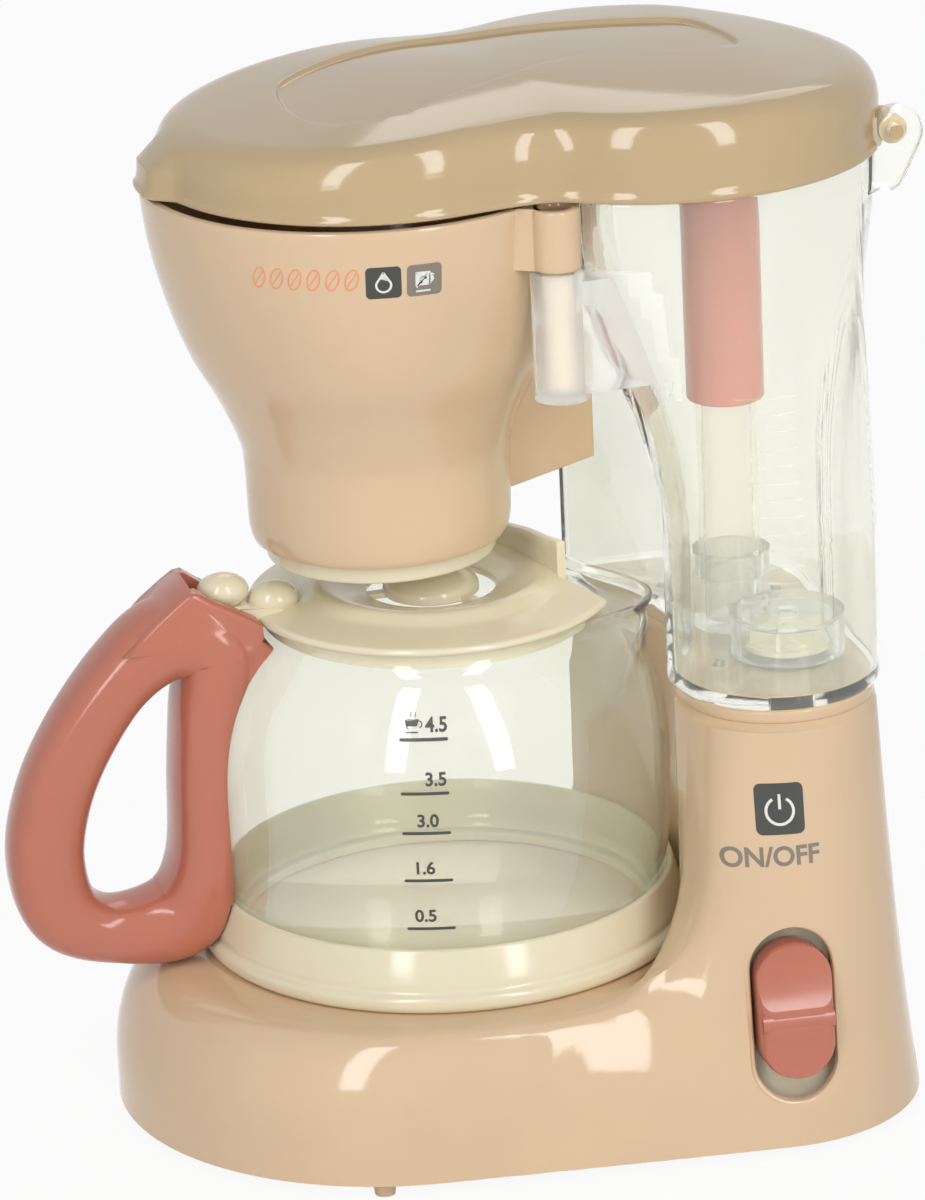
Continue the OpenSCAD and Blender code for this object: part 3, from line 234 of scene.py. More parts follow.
def housing_section(a, inset):
    """One upright section, as distance from the core against height, from bottom edge to top."""
    away = turned_away(a, CARAFE_WAY)
    edge = reach(BASE_CORNERS, CORE, a) - inset
    top = foot_outline(a, -SET_IN - inset)
    z_top, z_seat = PILLAR_H - inset, SEAT_H - inset
    fillet = min(lerp(FILLET_MIN, FILLET_MAX, ease(FILLET_FROM, FILLET_FULL, away)),
                 (edge - SHOULDER_W - top) * FILLET_SHARE)
    upright = ease(UPRIGHT_FROM, UPRIGHT_FULL, away)
    lobe = [(edge, BASE_Z)]
    rises = [BASE_Z]
    for f in SHOULDER_STEPS:
        lobe.append((edge - SHOULDER_W * (1 - cos(radians(f))), STAND + (z_seat - STAND) * sin(radians(f))))
        rises.append(STAND + float(np.interp(f, *SHOULDER_RISES)))
    for f in FILLET_STEPS:
        lobe.append((top + fillet * (1 - sin(radians(f))), z_seat + fillet * (1 - cos(radians(f)))))
        rises.append(STAND + float(np.interp(f, *FILLET_RISES)))
    lobe.append((top, z_top - LIP_H - 1.4))
    rises.append(z_top - LIP_H - 1.4)
    side = [(lerp(edge, top, (z - BASE_Z) / (PILLAR_H - BASE_Z)), z) for z in rises]
    lip = [(top - 0.15, z_top - LIP_H - 0.8), (top - 0.5, z_top - LIP_H - 0.4), (top - 1.1, z_top - LIP_H),
           (top - 0.8, z_top - LIP_H + 0.3), (top - 0.7, z_top - LIP_H + 0.6), (top - 0.7, z_top - 0.5),
           (top - 0.8, z_top - 0.2), (top - 1.1, z_top)]
    return [(lerp(p[0], q[0], upright), lerp(p[1], q[1], upright)) for p, q in zip(lobe, side)] + lip


def next_ring(bm, ring, closed=True):
    """Draws a ring or chain of vertices out into the next one, in the same order."""
    pairs = zip(ring, ring[1:] + ring[:1]) if closed else zip(ring, ring[1:])
    made = bmesh.ops.extrude_edge_only(bm, edges=[bm.edges.get(p) for p in pairs])["geom"]
    fresh = {v for v in made if isinstance(v, bmesh.types.BMVert)}
    return [next(e.other_vert(v) for e in v.link_edges if e.other_vert(v) in fresh) for v in ring]


def loft(rings, low, high):
    """A closed skin through rings of points, closed at both ends in a middle point."""
    bm = bmesh.new()
    first = ring = list(bmesh.ops.create_circle(bm, segments=len(rings[0]), radius=1)["verts"])
    for k, places in enumerate(rings):
        if k:
            ring = next_ring(bm, ring)
        for vert, place in zip(ring, places):
            vert.co = Vector(place) * MM
    for end, middle in ((first, low), (ring, high)):
        bmesh.ops.pointmerge(bm, verts=next_ring(bm, end), merge_co=Vector(middle) * MM)
    bmesh.ops.recalc_face_normals(bm, faces=bm.faces)
    return bm


def solid(name, bm):
    """Puts a finished bmesh into the scene as an object at the origin."""
    mesh = bpy.data.meshes.new(name)
    bm.to_mesh(mesh)
    bm.free()
    piece = bpy.data.objects.new(name, mesh)
    bpy.context.scene.collection.objects.link(piece)
    return piece


def worked(piece, operation, *tools):
    """Joins solids to a piece (UNION) or cuts them out of it (DIFFERENCE), and takes them away."""
    for tool in tools:
        step = piece.modifiers.new(operation, "BOOLEAN")
        step.operation, step.object, step.solver = operation, tool, "EXACT"
    bpy.context.view_layer.update()
    done = piece.evaluated_get(bpy.context.evaluated_depsgraph_get())
    piece.data = bpy.data.meshes.new_from_object(done)
    piece.modifiers.clear()
    for tool in tools:
        bpy.data.objects.remove(tool)
    return piece


def dress(piece, material, body, slot, *nodes, sharp=38):
    """Gives a finished piece its shading, material and body, and hides the CAD nodes it stands for; slot is
    not used.
    """
    piece.data.materials.clear()
    piece.data.materials.append(material)
    piece.data.shade_smooth()
    piece.data.set_sharp_from_angle(angle=radians(sharp))
    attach(piece, body)
    if nodes:
        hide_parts(*nodes)
    return piece


def linear(colour):
    """Scene-linear colour from 0-255 display values."""
    return tuple((c / 255 / 12.92) if c <= 10 else ((c / 255 + 0.055) / 1.055) ** 2.4 for c in colour)


def moulded(name, colour, gloss=0.2, mottle=0.03, peel=0.06, coat=0.0):
    """Moulded plastic: faint flow marks in the colour, uneven polish and a fine orange peel."""
    material = bpy.data.materials.new(name)
    tree = shader_tree(material)
    where = tree.nodes.new("ShaderNodeTexCoord").outputs["Object"]
    base = linear(colour)
    flow = wire(tree, "ShaderNodeTexNoise", Vector=where, Scale=28.0, Detail=3.0, Roughness=0.55)
    dark = tuple(c * (1 - mottle) for c in base) + (1,)
    light = tuple(min(1, c * (1 + mottle)) for c in base) + (1,)
    ramp = tree.nodes.new("ShaderNodeValToRGB")
    ramp.color_ramp.elements[0].position, ramp.color_ramp.elements[0].color = 0.3, dark
    ramp.color_ramp.elements[1].position, ramp.color_ramp.elements[1].color = 0.7, light
    tree.links.new(flow.outputs["Fac"], ramp.inputs[0])
    smear = wire(tree, "ShaderNodeTexNoise", Vector=where, Scale=140.0, Detail=4.0, Roughness=0.6)
    polish = wire(tree, "ShaderNodeMapRange", Value=smear.outputs["Fac"], From_Min=0.3, From_Max=0.7,
                  To_Min=gloss * 0.8, To_Max=gloss * 1.25)
    grain = wire(tree, "ShaderNodeTexNoise", Vector=where, Scale=620.0, Detail=2.0, Roughness=0.5)
    skin = wire(tree, "ShaderNodeBump", Height=grain.outputs["Fac"], Strength=peel, Distance=0.0002)
    shader = wire(tree, "ShaderNodeBsdfPrincipled", Base_Color=ramp.outputs[0], IOR=1.5,
                  Roughness=polish.outputs[0], Normal=skin.outputs[0], Coat_Weight=coat)
    wire(tree, "ShaderNodeOutputMaterial", Surface=shader.outputs[0])
    return material


beige_abs = moulded("beige_abs", (216, 188, 154), gloss=0.09)
beige_satin = moulded("beige_satin_abs", (205, 180, 150), gloss=0.42, peel=0.12)

housing_rows = {inset: [housing_section(shell_ray(i), inset) for i in range(SHELL_RAYS)]
                for inset in (0, WALL)}
rings = [[point(CORE, s[k][0], shell_ray(i), s[k][1]) for i, s in enumerate(housing_rows[inset])]
         for inset, order in ((WALL, -1), (0, 1)) for k in range(len(housing_rows[0][0]))[::order]]
housing = solid("base_and_pillar", loft(rings, (*CORE, PILLAR_H - WALL), (*CORE, PILLAR_H)))

# The pillar's front face leans back; everything of the switch is placed on it
FACE_FOOT_Y, FACE_TOP_Y, FACE_TURN, FACE_CROWN = -66.2, -51.8, radians(-4), 70
SWITCH_X, SWITCH_Z = 55.4, 32.4
SLIDER_W, SLIDER_L, SLIDER_REST, TRAVEL = 16.4, 30, 1.3, 7
SLOT_W, SLOT_L = SLIDER_W + 1.4, SLIDER_L + TRAVEL + 0.6
switch_lean = atan2(FACE_TOP_Y - FACE_FOOT_Y, PILLAR_H - BASE_Z)


def front_y(z):
    """How far forward the pillar's front face is at a height."""
    return lerp(FACE_FOOT_Y, FACE_TOP_Y, (z - BASE_Z) / (PILLAR_H - BASE_Z))


switch_face = Matrix.Translation(Vector((SWITCH_X, front_y(SWITCH_Z), SWITCH_Z)) * MM) @ \
    Matrix.Rotation(FACE_TURN, 4, "Z") @ Matrix.Rotation(-switch_lean, 4, "X")


def stadium(wide, long, depth, grow=0.0, crown=0.0, count=64):
    """A slot-shaped ring, upright, at a depth below the pillar's face and following its curve."""
    ring = []
    for i in range(count):
        a = 2 * pi * i / count
        r = wide / 2 + grow
        x, z = r * cos(a), r * sin(a) + (1 if sin(a) >= 0 else -1) * (long - wide) / 2
        ring.append((x, depth + crown * x * x / FACE_CROWN, z))
    return ring


# Depth behind the face and growth of the slot's rings, from the back through its rounded rim
slot_steps = [(9, 0), (1.2, 0), (0.75, 0.05), (0.4, 0.2), (0.15, 0.45), (0.02, 0.8), (-0.1, 1.3), (-5, 1.3)]
slot = loft([stadium(SLOT_W, SLOT_L, d, g, 1.0) for d, g in slot_steps], (0, 9, 0), (0, -5, 0))
slot.transform(switch_face)


def rod(x, y, z, r, h, steps=36):
    """An upright cylinder as a cutter or a pin."""
    bm = bmesh.new()
    bmesh.ops.create_cone(bm, cap_ends=True, segments=steps, radius1=r * MM, radius2=r * MM, depth=h * MM,
                          matrix=Matrix.Translation(Vector((x, y, z + h / 2)) * MM))
    return bm


TANK_BOSSES = [(78, 22), (56, 32), (53, -20)]
SEAL_HOLE_R, SCREW_HOLE_R, HOLE_SPAN = 4.1, 1.6, 12
housing = worked(housing, "DIFFERENCE", solid("slot_cut", slot),
                 solid("seal_hole", rod(*PUMP_AT, PILLAR_H - HOLE_SPAN / 2, SEAL_HOLE_R, HOLE_SPAN)),
                 *[solid("screw_hole", rod(*p, PILLAR_H - HOLE_SPAN / 2, SCREW_HOLE_R, HOLE_SPAN, 24))
                   for p in TANK_BOSSES])
dress(housing, beige_abs, "base", "beige_gloss", "base_housing")

# ---------------------------------------------------------------- Underside
# Bottom plate with its battery box, the cover and their screws close the housing from below.
steel = bpy.data.materials.new("nickel_plated_steel")
tree = shader_tree(steel)
where = tree.nodes.new("ShaderNodeTexCoord").outputs["Object"]
brush = wire(tree, "ShaderNodeTexNoise", Vector=where, Scale=900.0, Detail=3.0)
polish = wire(tree, "ShaderNodeMapRange", Value=brush.outputs["Fac"], To_Min=0.18, To_Max=0.42)
shader = wire(tree, "ShaderNodeBsdfPrincipled", Base_Color=(0.62, 0.61, 0.58, 1), Metallic=1.0,
              Roughness=polish.outputs[0])
wire(tree, "ShaderNodeOutputMaterial", Surface=shader.outputs[0])

cream_abs = moulded("cream_abs", (228, 219, 190), gloss=0.13)
terracotta_abs = moulded("terracotta_abs", (188, 113, 92), gloss=0.14)
# The lid's beige, darkened to khaki as painted shade for its upturned top
lid_beige_painted_shade_abs = moulded("lid_beige_painted_shade_abs", (188, 164, 125), gloss=0.09)
black_abs = moulded("black_abs", (44, 43, 42), gloss=0.4)
cell_film = moulded("cell_wrap_film", (52, 84, 120), gloss=0.28)
black_rubber = moulded("black_rubber", (60, 60, 58), gloss=0.7, peel=0.3)
red_pvc = moulded("red_lead_pvc", (178, 30, 24), gloss=0.4)
black_pvc = moulded("black_lead_pvc", (28, 28, 28), gloss=0.4)

CAD_FINISH = {
    beige_satin: ("bottom_plate", "battery_cover", "motor_mount"),
    steel: ("base_screws", "battery_cover_screw", "battery_springs", "battery_contacts", "motor_shaft",
            "motor_mount_screws", "tank_screws", "carafe_hinge_pin", "switch_plate_screws", "motor"),
    cell_film: ("batteries",),
    black_rubber: ("shaft_seal", "tank_gasket"),
    cream_abs: ("impeller", "switch_plate"),
    black_abs: ("switch_body",),
    red_pvc: ("switch_to_motor_lead", "battery_to_switch_lead"),
    black_pvc: ("battery_to_motor_lead",),
}


def finish_nodes(finish, *names):
    """Gives CAD nodes that show as they are their material."""
    for name in names:
        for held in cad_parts[name].material_slots:
            held.material = finish


for finish, names in CAD_FINISH.items():
    finish_nodes(finish, *names)

# ---------------------------------------------------------------- Water tank
# Clear polystyrene moulding: hollowed where it passes the carafe and the basket, with the
# socket of the basket hinge and two hinge ears for the lid moulded on.


def clear(name, tint, gloss=0.03, ior=1.18, wave=0.02, haze=0.0):
    """Clear moulded plastic with a polished skin, which lets lamp light through to what it covers."""
    material = bpy.data.materials.new(name)
    tree = shader_tree(material)
    where = tree.nodes.new("ShaderNodeTexCoord").outputs["Object"]
    flow = wire(tree, "ShaderNodeTexNoise", Vector=where, Scale=45.0, Detail=2.0, Roughness=0.4)
    skin = wire(tree, "ShaderNodeBump", Height=flow.outputs["Fac"], Strength=wave, Distance=0.004)
    film = wire(tree, "ShaderNodeBsdfPrincipled", Base_Color=(*tint, 1), Roughness=gloss, IOR=ior,
                Transmission_Weight=1.0 - haze, Coat_Weight=1.0, Coat_Roughness=0.02, Coat_IOR=1.5,
                Normal=skin.outputs[0])
    through = wire(tree, "ShaderNodeBsdfTransparent", Color=(0.8, 0.81, 0.78, 1))
    path = tree.nodes.new("ShaderNodeLightPath")
    both = wire(tree, "ShaderNodeMixShader", _0=path.outputs["Is Shadow Ray"], _1=film.outputs[0],
                _2=through.outputs[0])
    wire(tree, "ShaderNodeOutputMaterial", Surface=both.outputs[0])
    return material


clear_ps = clear("clear_polystyrene", (0.95, 0.955, 0.895), ior=1.08, haze=0.06)
milky_ps = clear("milky_polystyrene", (0.9, 0.9, 0.87), ior=1.08, gloss=0.15, haze=0.3)
BASKET_R, BASKET_GAP = 47.7, 2.6
MOUTH_CORNERS = [(TANK_AT[0], TANK_AT[1], 45.4), (TANK_AT[0] - 10, TANK_AT[1] + 8, 46.4)]
BASKET_CLEAR = (*BASKET_AT, BASKET_R + BASKET_GAP)
TANK_WALL, TANK_FLOOR, TANK_STEPS = 2, 2.2, 22
# Shares of the tank's height between which its hollow and its mouth take their full shape, how
# far its edges are blended at the foot and at the mouth, and the dent round the hinge barrel
HOLLOW_FROM, HOLLOW_FULL, MOUTH_FROM, FOOT_BLEND, MOUTH_BLEND = 0.25, 0.9, 0.3, 3, 24
DENT_GAP, DENT_FROM, DENT_SHORT = 0.7, 14, 2
BARREL_R, BARREL_H, SOCKET_R, SOCKET_H = 5.2, 13.2, 5.8, 27.8
BASKET_TOP = TANK_TOP - 0.6
SOCKET_Z = BASKET_TOP - BARREL_H - 0.35 - SOCKET_H


def tank_outline(a, z, inset):
    """Distance from the core to the tank's wall at a degrees and height z."""
    t = (z - TANK_Z) / (TANK_TOP - TANK_Z)
    u = ease(HOLLOW_FROM, HOLLOW_FULL, t)
    shell = lerp(reach(FOOT_CORNERS, CORE, a), reach(MOUTH_CORNERS, CORE, a), ease(MOUTH_FROM, 1, t))
    hollow = [lerp(p, q, u) for p, q in zip(HOLLOW, BASKET_CLEAR)]
    dent_share = (z - SOCKET_Z - DENT_FROM) / (SOCKET_H - DENT_FROM - DENT_SHORT)
    dent = (BARREL_R + DENT_GAP) * min(1, max(0, dent_share))
    return min(soft_min(shell - inset, near_side(hollow, CORE, a, inset), lerp(FOOT_BLEND, MOUTH_BLEND, u)),
               near_side((*HINGE_AT, dent), CORE, a, inset))


TANK_RAYS = 180
tank_rows = [(TANK_Z, 1.2), (TANK_Z + 0.15, 0.7), (TANK_Z + 0.5, 0.3), (TANK_Z + 1.1, 0.08), (TANK_Z + 2, 0)]
tank_rows += [(TANK_Z + 2 + (TANK_TOP - TANK_Z - 2.5) * k / TANK_STEPS, 0) for k in range(1, TANK_STEPS + 1)]
tank_rows += [(TANK_TOP - 0.15, 0.1), (TANK_TOP, 0.5), (TANK_TOP, TANK_WALL - 0.5),
              (TANK_TOP - 0.15, TANK_WALL - 0.1), (TANK_TOP - 0.5, TANK_WALL)]
inner_z = [TANK_Z + TANK_FLOOR + 1.6 + (TANK_TOP - TANK_Z - TANK_FLOOR - 2.1) * k / TANK_STEPS
           for k in range(TANK_STEPS)]
tank_rows += [(z, TANK_WALL) for z in reversed(inner_z)]
tank_rows += [(TANK_Z + TANK_FLOOR + 0.5, TANK_WALL + 0.3), (TANK_Z + TANK_FLOOR, TANK_WALL + 1.1)]
rings = [[point(CORE, tank_outline(shell_ray(i, TANK_RAYS), z, inset), shell_ray(i, TANK_RAYS), z)
          for i in range(TANK_RAYS)] for z, inset in tank_rows]
tank = solid("clear_water_tank", loft(rings, (*CORE, TANK_Z), (*CORE, TANK_Z + TANK_FLOOR)))

EAR_X, EAR_R, EAR_T, EAR_SPAN, LID_PIN_R = 94.3, 5.9, 2.8, 44, 1.6
LID_Z = TANK_TOP + 0.4
LID_PIN_Z = LID_Z + 3.4


def hulled(discs):
    """The tight skin round several discs, each (x, y, z, radius), as a moulded rib or web."""
    bm = bmesh.new()
    for x, y, z, r in discs:
        bmesh.ops.create_circle(bm, segments=40, radius=r * MM,
                                matrix=Matrix.Translation(Vector((x, y, z)) * MM))
    bmesh.ops.convex_hull(bm, input=bm.verts)
    bmesh.ops.delete(bm, geom=[v for v in bm.verts if not v.link_faces], context="VERTS")
    bmesh.ops.dissolve_limit(bm, angle_limit=radians(1), verts=bm.verts, edges=bm.edges)
    bmesh.ops.recalc_face_normals(bm, faces=bm.faces)
    return bm


def slab(corners, out):
    """A flat face drawn out along a vector into a slab."""
    bm = bmesh.new()
    face = bm.faces.new([bm.verts.new(Vector(corner) * MM) for corner in corners])
    made = bmesh.ops.extrude_face_region(bm, geom=[face])["geom"]
    moved = [v for v in made if isinstance(v, bmesh.types.BMVert)]
    bmesh.ops.translate(bm, verts=moved, vec=Vector(out) * MM)
    bmesh.ops.recalc_face_normals(bm, faces=bm.faces)
    return bm


def plate(outline, y, thick, round_by=0.4):
    """An upright flat plate square to Y, with its edges rounded."""
    bm = slab([(x, y - thick / 2, z) for x, z in outline], (0, thick, 0))
    if round_by:
        rims = [e for e in bm.edges if abs(e.verts[0].co.y - e.verts[1].co.y) < 1e-7]
        bmesh.ops.bevel(bm, geom=rims, offset=round_by * MM, segments=2, profile=0.5, affect="EDGES",
                        material=-1, clamp_overlap=True)
    return bm


def arc(x, z, r, start, end, steps=16):
    """Points of an arc from one direction to another, in degrees."""
    turns = [radians(lerp(start, end, i / steps)) for i in range(steps + 1)]
    return [(x + r * cos(t), z + r * sin(t)) for t in turns]


def cross_rod(x, y, z, r, long, steps):
    """A cylinder that lies across, along Y."""
    bm = bmesh.new()
    bmesh.ops.create_cone(bm, cap_ends=True, segments=steps, radius1=r * MM, radius2=r * MM, depth=long * MM,
                          matrix=Matrix.Translation(Vector((x, y, z)) * MM) @ Matrix.Rotation(pi / 2, 4, "X"))
    return bm


ear_outline = arc(EAR_X, LID_PIN_Z, EAR_R, -25, 168)
ear_outline += [(EAR_X - 14, TANK_TOP - 2.5), (EAR_X - 14, TANK_TOP - 12)]
ear_outline += arc(EAR_X - 2, LID_PIN_Z - 9, 3.6, 240, 335, 8)
ears = [solid("ear", plate(ear_outline, s * EAR_SPAN / 2, EAR_T)) for s in (-1, 1)]
socket = solid("socket", rod(*HINGE_AT, SOCKET_Z, SOCKET_R, SOCKET_H, 56))
WEB_REACH, WEB_ROOT_R, WEB_END_R = 26, 4.4, 3.4
SOCKET_BORE_R, KNUCKLE_ROOM_R = 3.3, 3.6
ROOM_GAP, ROOM_FLOOR, ROOM_STEPS, ABOVE_TOP = 0.01, 2.2, 20, 3
web_z = (SOCKET_Z + 1.5, SOCKET_Z + SOCKET_H - 2)
web = solid("web", hulled([(HINGE_AT[0] + dx, HINGE_AT[1], z, r) for z in web_z
                           for dx, r in ((0, WEB_ROOT_R), (WEB_REACH, WEB_END_R))]))
tank = worked(tank, "UNION", socket, web, *ears)
# What the unions left inside the tank, the pin's bore and the room for the lid's knuckles go again
room_z = [lerp(TANK_Z + TANK_FLOOR + ROOM_FLOOR, TANK_TOP, k / ROOM_STEPS) for k in range(ROOM_STEPS + 1)]
inner_rings = [[point(CORE, tank_outline(shell_ray(i, TANK_RAYS), min(z, TANK_TOP), TANK_WALL + ROOM_GAP),
                      shell_ray(i, TANK_RAYS), z) for i in range(TANK_RAYS)]
               for z in room_z + [TANK_TOP + ABOVE_TOP]]
inside = solid("inside", loft(inner_rings, (*CORE, room_z[0]), (*CORE, TANK_TOP + ABOVE_TOP)))
tank = worked(tank, "DIFFERENCE", inside,
              solid("socket_bore", rod(*HINGE_AT, SOCKET_Z + 2, SOCKET_BORE_R, SOCKET_H, 48)),
              solid("knuckle_room",
                    cross_rod(EAR_X, 0, LID_PIN_Z, KNUCKLE_ROOM_R, EAR_SPAN - EAR_T - 0.6, 48)),
              solid("pin_holes", cross_rod(EAR_X, 0, LID_PIN_Z, LID_PIN_R + 0.1, 60, 32)),
              solid("seal_hole", rod(*PUMP_AT, TANK_Z - 1, SEAL_HOLE_R, 6)))
dress(tank, clear_ps, "base", "clear_plastic", "water_tank", sharp=30)
# The socket and its web are moulded thick, so they look milky
tank.data.materials.append(milky_ps)
web_end = HINGE_AT[0] + WEB_REACH + WEB_END_R + 0.1
for face in tank.data.polygons:
    x, y, z = face.center / MM
    beside = x < web_end and abs(y - HINGE_AT[1]) < SOCKET_R + 0.1
    if beside and SOCKET_Z - 0.1 < z < SOCKET_Z + SOCKET_H + 0.1:
        face.material_index = 1

# ---------------------------------------------------------------- Pump and riser
# Clear pump cover on the tank floor; a translucent riser tube with a terracotta sleeve over its
# upper part, and a terracotta spout that carries the water over the tank wall into the basket.


def turned(profile, at, z, closed=False, steps=120):
    """A piece turned about an upright axis, from (radius, height) points."""
    bm = bmesh.new()
    chain = [bm.verts.new(Vector((at[0] + r, at[1], z + h)) * MM) for r, h in profile]
    edges = [bm.edges.new(pair) for pair in zip(chain, chain[1:])]
    if closed:
        edges.append(bm.edges.new((chain[-1], chain[0])))
    bmesh.ops.spin(bm, geom=chain + edges, cent=Vector((at[0], at[1], 0)) * MM, axis=(0, 0, 1), angle=2 * pi,
                   steps=steps, use_merge=True, use_duplicate=False)
    bmesh.ops.remove_doubles(bm, verts=bm.verts, dist=1e-7)
    bmesh.ops.recalc_face_normals(bm, faces=bm.faces)
    return bm


def softened(corners, steps=4):
    """A closed or open profile whose corners, each (radius, height, rounding), are rounded off."""
    out = []
    for k, (r, h, q) in enumerate(corners):
        if not q:
            out.append((r, h))
            continue
        here = Vector((r, h))
        before, after = Vector(corners[k - 1][:2]), Vector(corners[(k + 1) % len(corners)][:2])
        start = here + (before - here).normalized() * min(q, (before - here).length * 0.48)
        end = here + (after - here).normalized() * min(q, (after - here).length * 0.48)
        for i in range(steps + 1):
            t = i / steps
            out.append(tuple(start * (1 - t) ** 2 + here * 2 * t * (1 - t) + end * t * t))
    return out


def pipe(r_out, r_in, h, q=0.3):
    """The profile of a straight tube with rounded rims."""
    return softened([(r_in, 0, q), (r_out, 0, q), (r_out, h, q), (r_in, h, q)])


RISER_R, RISER_WALL, SLEEVE_R, SLEEVE_END = 6.6, 1.4, 8.5, 57.4
COVER_Z, COVER_H = TANK_Z + TANK_FLOOR + 0.05, 9
OUTLET_Z = COVER_Z + COVER_H + 2
SLEEVE_Z = TANK_TOP - SLEEVE_END
milky_tube = clear("milky_tube", (0.98, 0.955, 0.91), gloss=0.12, ior=1.08, wave=0.01, haze=0.06)
smoky_ps = clear("pump_cover_polystyrene", (0.86, 0.87, 0.86), gloss=0.06, ior=1.15, haze=0.12)
tube_line = pipe(RISER_R, RISER_R - RISER_WALL, TANK_TOP + 1 - OUTLET_Z)
tube = solid("riser_pipe", turned(tube_line, RISER_AT, OUTLET_Z, True, 64))
dress(tube, milky_tube, "base", "clear_tube", "riser_tube")
sleeve_line = pipe(SLEEVE_R, RISER_R + 0.1, TANK_TOP - 1 - SLEEVE_Z, 0.5)
sleeve = solid("riser_cover", turned(sleeve_line, RISER_AT, SLEEVE_Z, True, 72))
dress(sleeve, terracotta_abs, "base", "terracotta_gloss", "riser_sleeve")
finish_nodes(terracotta_abs, "outlet_spout")
finish_nodes(smoky_ps, "pump_cover")

# ---------------------------------------------------------------- Top lid
# One glossy moulding over tank and basket, in the beige of basket and housing darkened to khaki as painted
# shade for its upturned top: a flanged skirt, a rounded shoulder, a crown that rises towards the hinge, a
# sunk comma-shaped panel and a thumb tab at the basket end.
LID_MID, LID_H, LID_SIDE_H, LID_WALL, LID_SLOPE = (17, 4), 20.2, 10, 2, 0.03
LID_TANK = [(x + 0.5, y, r + 1.3) for x, y, r in MOUTH_CORNERS]
LID_BASKET = (BASKET_AT[0] + 1.3, BASKET_AT[1] - 0.5, BASKET_R - 1.7)
LID_RAYS, WAIST_BLEND = 216, 16
# The thumb tab's reach and direction, and how far in and how high the shoulder meets the crown
TAB_REACH, TAB_WAY, BEND_IN, BEND_RISE = 4.4, 178, 8, 7.6
CROWN_SHARES = (0, 0.03, 0.07, 0.12, 0.18, 0.24, 0.3, 0.37, 0.44, 0.51, 0.58, 0.65, 0.72, 0.79, 0.86, 0.93)


def lid_outline(a):
    """Distance from the lid's middle to its rim at a degrees: tank and basket ends, blended."""
    along, off = along_and_off(LID_BASKET, LID_MID, a)
    round_end = along + sqrt(max(0, LID_BASKET[2] ** 2 - off * off))
    return -soft_min(-reach(LID_TANK, LID_MID, a), -round_end, WAIST_BLEND)


# Share of its height that the lid keeps at its basket end and its hinge end, and where each begins
BASKET_KEEP, BASKET_EASE, HINGE_KEEP, HINGE_EASE, SKIRT_H = 0.84, (-60, 5), 0.86, (60, 94), 3


def lid_rise(x, h):
    """A height on the lid with its slope towards the hinge and its drop at both ends."""
    tilt = LID_SLOPE * (x - LID_MID[0]) * min(1, max(0, h / LID_SIDE_H))
    if h < SKIRT_H:
        return h + tilt
    ends = lerp(BASKET_KEEP, 1, ease(*BASKET_EASE, x)) * lerp(1, HINGE_KEEP, ease(*HINGE_EASE, x))
    return (h + tilt) * ends


def curve_through(points, steps):
    """A smooth curve through points of any dimension, with steps to each stretch."""
    pts = [np.array(p, float) for p in points]
    pts = [2 * pts[0] - pts[1]] + pts + [2 * pts[-1] - pts[-2]]
    out = []
    for k in range(1, len(pts) - 2):
        p0, p1, p2, p3 = pts[k - 1:k + 3]
        for i in range(steps):
            t = i / steps
            out.append(tuple(0.5 * (2 * p1 + (p2 - p0) * t + (2 * p0 - 5 * p1 + 4 * p2 - p3) * t * t
                                    + (3 * p1 - p0 - 3 * p2 + p3) * t ** 3)))
    return out + [tuple(pts[-2])]


LID_OUTLINE = [lid_outline(360 * i / LID_RAYS) for i in range(LID_RAYS)]


def crown_rise(c, h, side):
    """Height of the crown at a share of the way from the shoulder to the middle."""
    return lerp(side + BEND_RISE, h, 1 - (1 - c) ** 2)


def lid_rings(inset):
    """The lid's skin in rings, from the skirt's lower edge to the crown."""
    h, side = LID_H - inset, LID_SIDE_H - inset
    skirt = [(0.3, 0, 1), (0, 0.3, 1), (0, 1.1, 1), (0.2, 1.5, 1), (0.55, 1.9, 1), (0.7, 2.4, 1)]
    if inset:
        skirt = [(0, 0, 1), (0, 1.4, 1), (0.7, 2.4, 1)]
    bend = curve_through([(0.7, side - 1, 0.9), (1.4, side + 2.4, 0.4), (3, side + 5.2, 0.1),
                          (5.4, side + 6.8, 0), (BEND_IN, side + BEND_RISE, 0)], 4)[:-1]
    rings = []
    for edge, up, tab in skirt + [(0.7, side * 0.5, 0.95)] + bend:
        ring = []
        for i in range(LID_RAYS):
            a = 360 * i / LID_RAYS
            tab_out = TAB_REACH * ease(9, 4, turned_away(a, TAB_WAY)) * tab
            x, y, _ = point(LID_MID, LID_OUTLINE[i] + tab_out - inset - edge, a, 0)
            ring.append((x, y, LID_Z + lid_rise(x, up)))
        rings.append(ring)
    for c in CROWN_SHARES:
        ring = []
        for i in range(LID_RAYS):
            x, y, _ = point(LID_MID, (LID_OUTLINE[i] - inset - BEND_IN) * (1 - c), 360 * i / LID_RAYS, 0)
            ring.append((x, y, LID_Z + lid_rise(x, crown_rise(c, h, side))))
        rings.append(ring)
    return rings


def crown_z(x, y):
    """Height of the lid's crown over a plan point."""
    dx, dy = x - LID_MID[0], y - LID_MID[1]
    a = atan2(dy, dx) * 180 / pi % 360
    turns = [360 * i / LID_RAYS for i in range(LID_RAYS + 1)]
    out = float(np.interp(a, turns, LID_OUTLINE + LID_OUTLINE[:1])) - BEND_IN
    c = 1 - min(1, sqrt(dx * dx + dy * dy) / out)
    return LID_Z + lid_rise(x, crown_rise(c, LID_H, LID_SIDE_H))


def lid_centre(inset):
    """The middle point of the crown's outer or inner skin."""
    return (*LID_MID, LID_Z + lid_rise(LID_MID[0], LID_H - inset))


lid = solid("khaki_lid", loft(lid_rings(LID_WALL)[::-1] + lid_rings(0), lid_centre(LID_WALL), lid_centre(0)))

